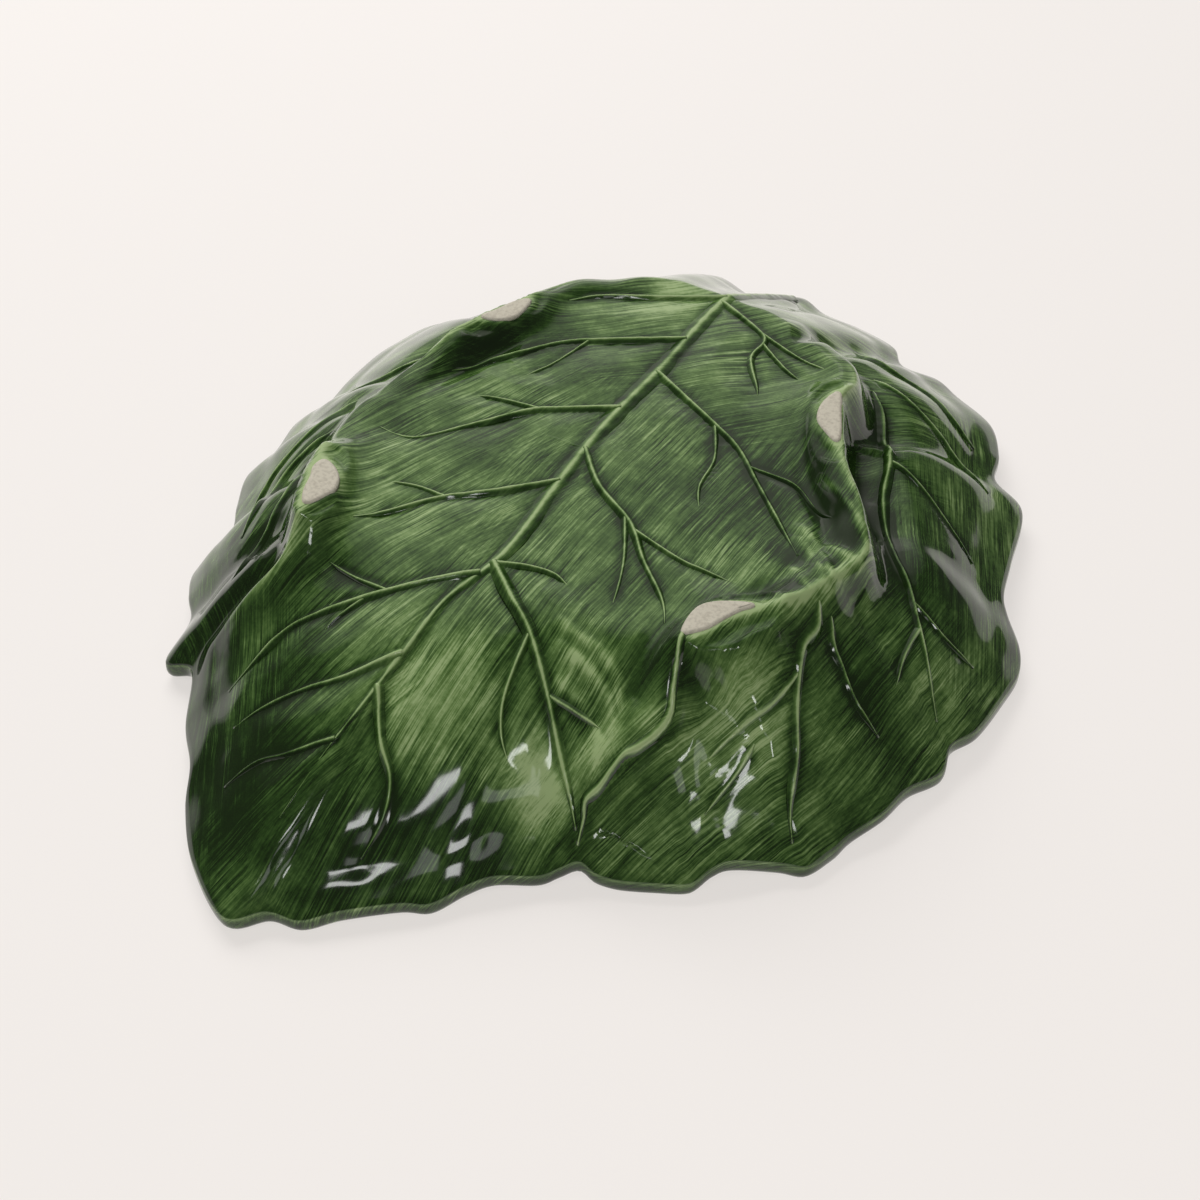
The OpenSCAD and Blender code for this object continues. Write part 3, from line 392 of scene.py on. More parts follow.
def ease(value, start=0.0, end=1.0):
    """Soft step from 0 where a value is at the start to 1 where it is at the end."""
    t = np.clip((value - start) / (end - start), 0, 1)
    return t * t * (3 - 2 * t)


def bell(distance, reach):
    """Soft hill, 1 at no distance."""
    return np.exp(-(distance / reach) ** 2)


def directions(vectors):
    """Vectors brought to length 1."""
    return vectors / np.linalg.norm(vectors, axis=-1, keepdims=True)


def way_along(points):
    """How far each point in plan lies along its path."""
    return np.concatenate([[0], np.cumsum(np.linalg.norm(np.diff(points[:, :2], axis=0), axis=1))])


def stops_on(points, way, stops):
    """Points of a path at given ways along it."""
    return np.stack([np.interp(stops, way, column) for column in points.T], -1)


def raised(place, height):
    """Places in plan with their heights."""
    return np.concatenate([place, height[..., None]], -1)


def path_distance(place, path):
    """Distance in plan from places to a path."""
    flat = place.reshape(-1, place.shape[-1])[:, :2]
    best = np.full(len(flat), FAR)
    for a, b in zip(path[:-1], path[1:]):
        t = np.clip((flat - a) @ (b - a) / ((b - a) @ (b - a)), 0, 1)
        best = np.minimum(best, np.linalg.norm(flat - a - t[:, None] * (b - a), axis=1))
    return best.reshape(place.shape[:-1])


def waves(place, kind):
    """Smooth unevenness between about -1 and 1, with hills about one pitch apart."""
    pitch, seed = WAVES[kind]
    rng = np.random.default_rng(seed)
    sines = 7
    total = 0
    for _ in range(sines):
        turn, phase = rng.uniform(0, 2 * math.pi, 2)
        length = pitch * MM * rng.uniform(0.7, 1.5)
        along = place[..., 0] * math.cos(turn) + place[..., 1] * math.sin(turn)
        total = total + np.sin(2 * math.pi * along / length + phase)
    return total / (sines / 2)


class Leaf:
    """The two faces of the plate as heights over its plan."""

    # Share of the way to the rim over which the folds run out, at its end
    FOLD_END = 0.05
    # The hollow at a fold's inner foot: how far in it lies and how far it reaches, as shares of fold_inner
    HOLLOW_PLACE, HOLLOW_REACH = 1.1, 0.4
    # Share of a fold's rise that is left on the eating side
    INNER_RISE = 0.5
    # How far the thin glaze on a knuckle reaches, as a share of the knuckle's own reach
    THIN_REACH = 0.95
    # How far away a crease's flank lies, how far that reaches, and how far what is near the crease does
    FLANK_AWAY, FLANK_REACH, NEAR_REACH = 1.5 * MM, 1.8 * MM, 4 * MM
    # Degrees between two measured ways over the dome, and how many times each is measured
    ARC_TURN, ARC_STOPS = 2, 120
    # How many places are set against a fold at once, to spare memory
    PLACES_AT_ONCE = 4096

    def __init__(self, sizes):
        self.sizes = sizes
        self.top = sizes.foot_height - sizes.pad_height
        turns, reaches, lifts = np.array(RIM_SHARES, float).T
        edge = reaches * [np.cos(np.radians(turns)), np.sin(np.radians(turns))]
        rim = path_through(np.stack([*edge, lifts], -1), steps=24, closed=True)
        rim[:, 2] = np.maximum(rim[:, 2], 0)
        low, high = rim[:, :2].min(0), rim[:, :2].max(0)
        self.middle = (low + high) / 2
        self.scale = np.array([sizes.leaf_width, sizes.leaf_length]) / (high - low)
        self.rim = rim
        self.heart = self.plan(np.zeros(2))
        turns = self.bearing(rim)
        order = np.argsort(turns)
        self.turns, self.reaches = turns[order], np.hypot(rim[order, 0], rim[order, 1])
        self.lifts = rim[order, 2] * sizes.rim_wave
        self.folds = {True: self.crest(RIGHT_FOLD_SHARES), False: self.crest(LEFT_FOLD_SHARES)}
        self.base_edge, self.wall_curve, self.crest_way = (
            self.by_bearing(table) for table in (BASE_EDGE_SHARES, WALL_CURVE_SHARES, CREST_WAY_SHARES))
        self.creases = [
            Vein(path_through(self.plan(way), steps=6), width * MM, height * MM, CREASE_GIRTHS, False)
            for width, height, way in CREASE_SHARES]
        self.knuckles = [(reach * MM, height * MM, thin, path_through(self.plan(way), steps=3))
                         for reach, height, thin, way in KNUCKLE_SHARES]
        self.pads = {node: path_through(self.plan(shares), steps=8, closed=True)
                     for node, shares in PAD_SHARES.items()}
        self.measure_arcs()

    def plan(self, shares):
        """Places in plan, in metres."""
        return (np.asarray(shares, float)[..., :2] - self.middle) * self.scale

    def shares_of(self, place):
        """Shares of places in plan."""
        return place[..., :2] / self.scale + self.middle

    @staticmethod
    def bearing(shares):
        """Bearing from the heart in degrees."""
        return np.degrees(np.arctan2(shares[..., 1], shares[..., 0])) % 360

    @staticmethod
    def by_bearing(table):
        """A table by bearing as a smooth function round the leaf."""
        rows = np.array(table, float)
        curve = path_through(np.vstack([rows - [360, 0], rows, rows + [360, 0]]), steps=8)
        return lambda bearing: np.interp(bearing, *curve.T)

    def rim_reach(self, turn):
        """Reach of the rim from the heart at a bearing."""
        return np.interp(turn, self.turns, self.reaches, period=360)

    def crest(self, table):
        """A fold's crest in plan, with its rise, drop, side and hollow in metres."""
        z = self.sizes
        curve = path_through(table, steps=5)
        measures = curve[:, 2:] * [z.fold_rise, z.fold_drop, z.fold_outer, z.fold_hollow]
        return np.hstack([self.plan(curve), measures])

    def to_fold(self, place, right):
        """Distance outwards from a fold's crest, with its rise, drop, side and hollow, for places in plan."""
        crest = self.folds[right]
        along = np.diff(crest[:, :2], axis=0)
        outward = 1 if right else -1
        found = []
        for part in np.array_split(place, len(place) // self.PLACES_AT_ONCE + 1):
            offset = part[:, None] - crest[:-1, :2]
            t = np.clip((offset * along).sum(2) / (along ** 2).sum(1), 0, 1)
            gap = offset - t[..., None] * along
            distance = np.hypot(gap[..., 0], gap[..., 1])
            best = distance.argmin(1)
            row = np.arange(len(best))
            g, l, s = gap[row, best], along[best], t[row, best, None]
            side = np.sign(g[:, 0] * l[:, 1] - g[:, 1] * l[:, 0]) * outward
            measures = crest[best, 2:] + s * (crest[best + 1, 2:] - crest[best, 2:])
            found.append(np.hstack([(side * distance[row, best])[:, None], measures]))
        return np.concatenate(found)

    def fold_profile(self, out, rise, drop, side, hollow):
        """Height that a fold adds at a distance outwards from its crest."""
        z = self.sizes
        fall = ease(out / side)
        beyond = np.maximum(0, out - side)
        from_hollow = out + self.HOLLOW_PLACE * z.fold_inner
        inside = rise * bell(out, z.fold_inner) - hollow * bell(from_hollow, self.HOLLOW_REACH * z.fold_inner)
        return np.where(out < 0, inside, rise * (1 - fall) - drop * fall * bell(beyond, z.valley_reach))

    def dome(self, share):
        """Height of the dome without its folds, its slope, and the share of the way to the rim."""
        z = self.sizes
        turn = self.bearing(share)
        reach = self.rim_reach(turn)
        s = np.hypot(share[..., 0], share[..., 1]) / reach
        start, power = self.base_edge(turn), self.wall_curve(turn)
        edge = z.rim_edge + np.interp(turn, self.turns, self.lifts, period=360)
        fall = z.foot_height - z.fold_rise - edge
        u = np.maximum(0, (s - start) / (1 - start))
        dome = z.base_crown * (1 - ease(s / start)) + edge + fall * (1 - u ** power)
        way = reach * np.hypot(np.cos(np.radians(turn)) * self.scale[0],
                               np.sin(np.radians(turn)) * self.scale[1])
        slope = fall * power * np.maximum(u, 1e-6) ** (power - 1) / ((1 - start) * way)
        return dome, np.where(u > 0, slope, 0), s

    def faces(self, place):
        """Outer height, height on the eating side, share of the way to the rim, and the fold's row."""
        z = self.sizes
        shape = place.shape[:-1]
        place = place.reshape(-1, place.shape[-1])[:, :2]
        share = self.shares_of(place)
        dome, slope, s = self.dome(share)
        fold = np.empty((len(place), 5))
        for right in (True, False):
            chosen = (share[:, 0] > 0) == right
            if chosen.any():
                fold[chosen] = self.to_fold(place[chosen], right)
        fade = ease(s, 1, 1 - self.FOLD_END)
        outside = self.fold_profile(*fold.T)
        inside = self.fold_profile(fold[:, 0] + z.wall, fold[:, 1] * self.INNER_RISE, *fold.T[2:])
        outer = np.minimum(self.top, dome + outside * fade + self.knuckled(place)[0])
        inner = dome - z.wall * np.sqrt(1 + slope ** 2) + np.minimum(outside, inside) * fade
        return outer.reshape(shape), inner.reshape(shape), s.reshape(shape), fold.reshape(*shape, 5)

    def knuckled(self, place):
        """Height of the soft knuckles at places, and how thin they leave the glaze."""
        height = pale = np.zeros(place.shape[:-1])
        for reach, rise, thin, way in self.knuckles:
            away = path_distance(place, way)
            height = np.maximum(height, rise * bell(away, reach))
            pale = np.maximum(pale, thin * bell(away, self.THIN_REACH * reach))
        return height, pale

    def beside_creases(self, place):
        """How near places are to a crease: close beside it, and anywhere by it."""
        flank = near = np.zeros(place.shape[:-1])
        for crease in self.creases:
            away = path_distance(place, crease.route[::2])
            beside = bell(away - self.FLANK_AWAY, self.FLANK_REACH)
            flank = np.maximum(flank, crease.height.max() / MM * beside)
            near = np.maximum(near, bell(away, self.NEAR_REACH))
        return flank, near

    def beyond_pads(self, place):
        """Distance from places to the nearest pad's outline, zero under a pad."""
        found = np.full(place.shape[:-1], FAR)
        x, y = place[..., 0], place[..., 1]
        for outline in self.pads.values():
            closed = np.vstack([outline, outline[:1]])
            under = np.zeros(x.shape, bool)
            for (x0, y0), (x1, y1) in zip(closed[:-1], closed[1:]):
                crossing = (y0 > y) != (y1 > y)
                if crossing.any():
                    under ^= crossing & (x < (x1 - x0) * (y - y0) / (y1 - y0) + x0)
            found = np.minimum(found, np.where(under, 0, path_distance(place, closed)))
        return found

    def on_outside(self, place, proud):
        """Points raised from the outer face along its normal."""
        step = 0.4 * MM
        right, back = (self.faces(place + reach)[0] - self.faces(place - reach)[0]
                       for reach in np.array([[step, 0], [0, step]]))
        normal = directions(np.stack([-right, -back, np.full(right.shape, 2 * step)], -1))
        return raised(place, self.faces(place)[0]) + normal * proud[..., None]

    def measure_arcs(self):
        """Length of the way over the dome from the heart, by bearing and share of the way."""
        turns, ways = np.arange(0, 360 + self.ARC_TURN, self.ARC_TURN), np.linspace(0, 1, self.ARC_STOPS)
        flat = np.stack([np.cos(np.radians(turns)), np.sin(np.radians(turns))], -1)
        shares = flat[:, None] * self.rim_reach(turns)[:, None, None] * ways[None, :, None]
        steps = np.linalg.norm(np.diff(raised(self.plan(shares), self.dome(shares)[0]), axis=1), axis=2)
        self.arcs = np.concatenate([np.zeros((len(turns), 1)), np.cumsum(steps, 1)], 1)

    def unrolled(self, place):
        """Places laid flat: the bearing is kept, and the distance is the way over the outer face."""
        share = self.shares_of(place)
        turn = self.bearing(share)
        s = np.clip(np.hypot(share[..., 0], share[..., 1]) / self.rim_reach(turn), 0, 1)
        row, column = turn / self.ARC_TURN, s * (self.ARC_STOPS - 1)
        i, j = np.floor(row).astype(int), np.minimum(np.floor(column).astype(int), self.ARC_STOPS - 2)
        f, g = row - i, column - j
        i = i % (len(self.arcs) - 1)
        near, far = (self.arcs[i, k] * (1 - f) + self.arcs[i + 1, k] * f for k in (j, j + 1))
        offset = place[..., :2] - self.heart
        distance = np.maximum(np.linalg.norm(offset, axis=-1, keepdims=True), 1e-9)
        return offset / distance * (near * (1 - g) + far * g)[..., None]


class Vein:
    """One vein's route in plan with its half width and height."""

    # Way between two sections, and the shares of the vein over which it rises from the clay and sinks into it
    STEP, HEAD, TAIL = 0.8 * MM, 0.12, 0.2
    # Share of its width that is left where it sinks in, how far its width and height wander, and how much
    # narrower it counts at its ends where the blade is measured from it
    LEAST, WANDER, SINK = 0.4, 0.06, 3 * MM

    def __init__(self, route, width, height, girths=VEIN_GIRTHS, head=True):
        way = way_along(route)
        count = max(4, int(round(way[-1] / self.STEP)) + 1)
        self.route = stops_on(route, way, np.linspace(0, way[-1], count))
        part = np.linspace(0, 1, count)
        tail = ease(part, 1, 1 - self.TAIL)
        start = 1 if head else ease(part, 0, self.HEAD)
        girth = np.interp(part, *zip(*girths)) + self.WANDER * waves(self.route, "vein_girth")
        for end in (tail, start):
            width = width * (self.LEAST + (1 - self.LEAST) * end)
        self.half = width / 2 * girth
        self.height = height * girth * tail * start
        self.sunk = (1 - tail * start) * self.SINK


def forked(leaf, girth, route_shares, parent):
    """A vein that leaves the nearest point of its parent, if it has one."""
    route = leaf.plan(route_shares)
    if parent:
        route[0] = parent.route[np.linalg.norm(parent.route - route[0], axis=1).argmin()]
    width, height = girth * leaf.sizes.vein_width, girth * leaf.sizes.vein_height
    return Vein(path_through(route, steps=10), width, height, head=bool(parent))


def vein_list(leaf):
    """Every vein by its node, the midrib first."""
    z = leaf.sizes
    route = path_through(leaf.plan(MIDRIB_SHARES), steps=12)
    midrib = Vein(route, z.midrib_width, z.midrib_height, MIDRIB_GIRTHS)
    veins = {"midrib": [midrib]}
    for node, (from_midrib, table) in VEIN_SHARES.items():
        veins[node] = []
        for girth, route, twigs in table:
            main = forked(leaf, girth, route, midrib if from_midrib else None)
            veins[node] += [main, *(forked(leaf, *twig, main) for twig in twigs)]
    return veins


def beside_veins(veins, place):
    """Distance in plan from each place to the nearest vein's side, below zero under a vein."""
    samples = [(*spot, half) for group in veins.values() for vein in group
               for spot, half in zip(vein.route, vein.half - vein.sunk)]
    tree = kdtree.KDTree(len(samples))
    for i, (x, y, _) in enumerate(samples):
        tree.insert((x, y, 0), i)
    tree.balance()
    found = []
    for x, y in place.reshape(-1, 2):
        _, index, distance = tree.find((x, y, 0))
        found.append(distance - samples[index][2])
    return np.reshape(found, place.shape[:-1])


def deselect():
    """Leaves nothing selected."""
    bpy.ops.object.select_all(action="DESELECT")


def skin_of(name, points, uvs, pool, brush=1.0):
    """A closed skin from a grid of points: its rows are rings, and its first and last rows are single points.

    Its fourth argument is how thick the glaze lies, together with painted shade and painted sheen in places,
    and the brush is how much its strokes show.
    """
    rows, columns = points.shape[:2]
    deselect()
    bpy.ops.mesh.primitive_grid_add(x_subdivisions=columns, y_subdivisions=rows - 1, size=1)
    piece = bpy.context.object
    piece.name = piece.data.name = name
    mesh = piece.data
    flat = np.empty(len(mesh.vertices) * 3)
    mesh.vertices.foreach_get("co", flat)
    flat = flat.reshape(-1, 3)
    across = np.rint((flat[:, 0] + 0.5) * columns).astype(int) % columns
    down = np.rint((flat[:, 1] + 0.5) * (rows - 1)).astype(int)
    mesh.vertices.foreach_set("co", points[down, across].ravel())
    for layer, values in (("pool", pool), ("brush", np.full(pool.shape, brush))):
        attribute = mesh.attributes.new(layer, "FLOAT", "POINT")
        attribute.data.foreach_set("value", values[down, across].astype(np.float32))
    corners = np.empty(len(mesh.loops), int)
    mesh.loops.foreach_get("vertex_index", corners)
    mesh.uv_layers[0].name = "leaf"
    mesh.uv_layers[0].uv.foreach_set("vector", uvs[down, across][corners].astype(np.float32).ravel())
    bpy.ops.object.mode_set(mode="EDIT")
    bpy.ops.mesh.select_all(action="SELECT")
    bpy.ops.mesh.remove_doubles(threshold=1e-6)
    bpy.ops.mesh.normals_make_consistent(inside=False)
    bpy.ops.object.mode_set(mode="OBJECT")
    bpy.ops.object.shade_smooth()
    return piece


def finish_piece(piece, node, material):
    """Puts the piece on its body in place of its solid."""
    piece.data.materials.clear()
    piece.data.materials.append(material)
    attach(piece, "root")
    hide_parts(node)


def pool_and_painted_light_by_place(leaf, place, s, fold, beside):
    """How dark the glaze is coloured: above zero where it pools, below zero where it is thin, with painted
    shade, a painted sheen and painted highlights on fold crests in places.
    """
    z = leaf.sizes
    out, rise, drop, side, hollow = np.moveaxis(fold, -1, 0)
    flank, near = leaf.beside_creases(place)
    pinched = ease(rise / z.fold_rise, 0.4, 0.9) * (1 - near)
    # For each line of the form, how much of it there is and the distance from it
    lines = {
        "vein_side": (1, np.maximum(beside, 0)), "valley": (drop / z.fold_drop, out - side),
        # The two crest lines paint a pale band that is thin glaze and partly a painted highlight
        "hollow": (hollow / z.fold_hollow, out + 0.8 * z.fold_inner), "crest": (pinched, out),
        "crest_side_and_highlight": (pinched, out), "pad_edge": (1, leaf.beyond_pads(place))}
    pool = 0
    for line, (strength, away, reach) in GLAZE_LINES.items():
        amount, distance = lines[line]
        pool = pool + strength * amount * bell(distance - away * MM, reach * MM)
    worn = leaf.knuckled(place)[1] * (1 + 0.5 * waves(place, "knuckle_glaze"))
    pool = pool + CREASE_POOL * flank - worn
    pool = pool + RIM_POOL * ease(s, *RIM_POOL_WAYS) - RIM_THIN * bell(s - RIM_THIN_WAY, RIM_THIN_REACH)
    share = leaf.shares_of(place)
    # Listed spots: glaze that pools or was wiped thin, with painted shade and a painted sheen among them
    for across, along, reach, strength in GLAZE_POOL_AND_PAINTED_LIGHT_SHARES:
        pool = pool + strength * bell(np.hypot(share[..., 0] - across, share[..., 1] - along), reach)
    return pool


def raised_cord(leaf, vein, name, thin=0.0):
    """A vein or crease: its section set across its route on the outer face, with the glaze thinner on top."""
    along = directions(np.gradient(vein.route, axis=0))
    across = np.stack([-along[:, 1], along[:, 0]], -1)
    aside, up, glaze = np.array(CORD_SECTION).T
    place = vein.route[:, None] + across[:, None] * aside[:, None] * vein.half[:, None, None]
    rise = np.where(up > 0, up * vein.height[:, None], up * leaf.sizes.vein_root)
    rise = rise + CORD_WAVE * waves(place, "vein_crest") * (up > 0)
    points = leaf.on_outside(place, rise)
    _, _, s, fold = leaf.faces(place)
    pool = glaze + pool_and_painted_light_by_place(leaf, place, s, fold, np.full(rise.shape, FAR))
    pool = pool + CORD_GLAZE_WAVE * waves(place, "vein_glaze") - thin * np.maximum(up, 0)
    ends = [np.repeat(points[i].mean(0)[None, None], len(up), 1) for i in (0, -1)]
    points = np.concatenate([ends[0], points, ends[1]])
    uv, pool = (np.concatenate([rows[:1], rows, rows[-1:]]) for rows in (leaf.unrolled(place), pool))
    return skin_of(name, points, uv, pool, VEIN_BRUSH)


def joined(parts):
    """One object from several."""
    deselect()
    for part in parts:
        part.select_set(True)
    bpy.context.view_layer.objects.active = parts[0]
    if len(parts) > 1:
        bpy.ops.object.join()
    return bpy.context.object


def add_node(tree, kind, inputs=None, **settings):
    """Adds a shader node with its settings, and its inputs: values, other nodes or their outputs."""
    node = tree.nodes.new(kind)
    for key, value in settings.items():
        setattr(node, key, value)
    for key, value in (inputs or {}).items():
        if isinstance(value, bpy.types.Node):
            value = value.outputs[0]
        if isinstance(value, bpy.types.NodeSocket):
            tree.links.new(value, node.inputs[key])
        else:
            node.inputs[key].default_value = value
    return node


def added_up(tree, start, *parts):
    """A starting value, and each part times its weight."""
    for part, weight in parts:
        start = add_node(tree, "ShaderNodeMath", {0: part, 1: weight, 2: start}, operation="MULTIPLY_ADD")
    return start


def set_stops(ramp, stops, interpolation="LINEAR"):
    """Gives a colour ramp its stops, in rising order."""
    ramp.color_ramp.interpolation = interpolation
    elements = ramp.color_ramp.elements
    while len(elements) < len(stops):
        elements.new(1.0)
    for element, (at, colour) in zip(elements, stops):
        element.position, element.color = at, (*colour, 1)


def new_material(name):
    """A material with an empty node tree."""
    material = bpy.data.materials.new(name)
    material.use_nodes = True
    material.node_tree.nodes.clear()
    return material, material.node_tree


def brushed_glaze(colours):
    """Majolica glaze: transparent green lead glaze, brushed on by hand and fired glossy.

    Its bristle lines stay as darker and lighter streaks. It is thin and pale on ridges, and dark where it
    pools.
    The same colour scale also shows painted shade, painted sheen and painted highlights on fold crests.
    """
    material, tree = new_material(GLAZE_NAME)
    leaf_uv = add_node(tree, "ShaderNodeUVMap", uv_map="leaf")
    place = add_node(tree, "ShaderNodeTexCoord").outputs["Object"]
    pool, brush = (add_node(tree, "ShaderNodeAttribute", attribute_name=name).outputs["Fac"]
                   for name in ("pool", "brush"))
    noises = {}
    for name, (size, detail, roughness) in GLAZE_NOISES.items():
        noises[name] = add_node(tree, "ShaderNodeTexNoise", {
            "Vector": place, "Scale": 1 / (size * MM), "Detail": detail, "Roughness": roughness})

    # How fully a place lies in each zone of the brush, whose edges wander
    axes = add_node(tree, "ShaderNodeSeparateXYZ", {"Vector": place}).outputs
    wander = added_up(tree, -ZONE_WANDER / 2, (noises["wander"], ZONE_WANDER))
    zones = []
    for turn, edges in BRUSH_ZONES:
        share = 1.0
        for axis, (start, full) in edges.items():
            at = added_up(tree, wander, (axes[axis], 1.0))
            edge = add_node(tree, "ShaderNodeMapRange", {
                "Value": at, "From Min": start * MM, "From Max": full * MM})
            share = add_node(tree, "ShaderNodeMath", {0: share, 1: edge}, operation="MULTIPLY")
        zones.append((turn, share))

    strokes = {}
    for name, (pitch, run, detail) in BRUSH_STROKES.items():
        streaks = 0.0
        for turn, share in zones:
            mapped = add_node(tree, "ShaderNodeMapping", {
                "Vector": leaf_uv, "Rotation": (0, 0, math.radians(turn)),
                "Scale": (run * MM, pitch * MM, 1)}, vector_type="TEXTURE")
            turned = add_node(tree, "ShaderNodeTexNoise", {
                "Vector": mapped, "Scale": 1.0, "Detail": detail, "Roughness": 0.68}, noise_dimensions="2D")
            streaks = add_node(tree, "ShaderNodeMix", {"Factor": share, "A": streaks, "B": turned},
                               data_type="FLOAT")
        strokes[name] = streaks

    # Thin bristle lines show in patches, and broad strokes everywhere that the brush went
    bristles = added_up(tree, -0.925, (strokes["hair"], 1.0), (strokes["fine"], 0.85))
    patches = added_up(tree, -0.1, (noises["patch"], 2.2))
    brushed = added_up(tree, -0.25, (bristles, patches), (strokes["broad"], 0.5))
    # How dark the glaze shows: its thickness, plus painted shade, painted sheen and painted crest highlights
    # from the attribute
    thickness_and_painted_light = added_up(tree, -0.155, (noises["grain"], 0.3), (brushed, brush), (noises["mottle"], 1.0),
                         (pool, 1.0))
    ramp = add_node(tree, "ShaderNodeValToRGB", {"Fac": thickness_and_painted_light})
    stops = ((0.0, colours.thin), (0.25, colours.light), (0.5, colours.brushed), (0.74, colours.thick),
             (1.0, colours.pooled))
    set_stops(ramp, stops, "B_SPLINE")
    bumps = add_node(tree, "ShaderNodeBump", {
        "Height": noises["ripple"], "Strength": 0.22, "Distance": 0.8 * MM})
    shader = add_node(tree, "ShaderNodeBsdfPrincipled", {
        "Base Color": ramp, "Roughness": 0.07, "IOR": 1.52, "Normal": bumps})
    add_node(tree, "ShaderNodeOutputMaterial", {"Surface": shader})
    return material


def bare_clay(colours):
    """Fired earthenware body: ground flat after glazing, matt, finely grained, with fine darker specks."""
    material, tree = new_material("bare_ground_clay")
    place = add_node(tree, "ShaderNodeTexCoord").outputs["Object"]
    grain = add_node(tree, "ShaderNodeTexNoise", {
        "Vector": place, "Scale": 1 / CLAY_GRAIN, "Detail": 4.0, "Roughness": 0.65})
    ramp = add_node(tree, "ShaderNodeValToRGB", {"Fac": grain})
    set_stops(ramp, ((0.3, colours.clay_shade), (0.55, colours.clay)))
    bumps = add_node(tree, "ShaderNodeBump", {"Height": grain, "Strength": 0.3, "Distance": 0.2 * MM})
    shader = add_node(tree, "ShaderNodeBsdfPrincipled", {
        "Base Color": ramp, "Roughness": 0.85, "Normal": bumps})
    add_node(tree, "ShaderNodeOutputMaterial", {"Surface": shader})
    return material


def pale_plaster(stage):
    """Painted studio floor: matt, and pale to the camera and in reflections, with the shadows kept."""
    material, tree = new_material("pale_studio_floor")
    rays = add_node(tree, "ShaderNodeLightPath").outputs
    seen = 0.0
    for kind in ("Is Camera Ray", "Is Glossy Ray", "Is Transmission Ray"):
        seen = add_node(tree, "ShaderNodeMath", {0: seen, 1: rays[kind]}, operation="MAXIMUM")
    share = add_node(tree, "ShaderNodeMath", {0: seen, 1: stage.floor_glow}, operation="MULTIPLY")
    paint = add_node(tree, "ShaderNodeBsdfDiffuse", {"Color": (*stage.floor_colour, 1)})
    glow = add_node(tree, "ShaderNodeEmission", {"Color": (*stage.floor_colour, 1), "Strength": 1.0})
    mix = add_node(tree, "ShaderNodeMixShader", {0: share, 1: paint, 2: glow})
    add_node(tree, "ShaderNodeOutputMaterial", {"Surface": mix})
    return material


def glaze_of(context):
    """The one glaze that all glazed pieces share."""
    return bpy.data.materials.get(GLAZE_NAME) or brushed_glaze(context.scene.glaze_colours)


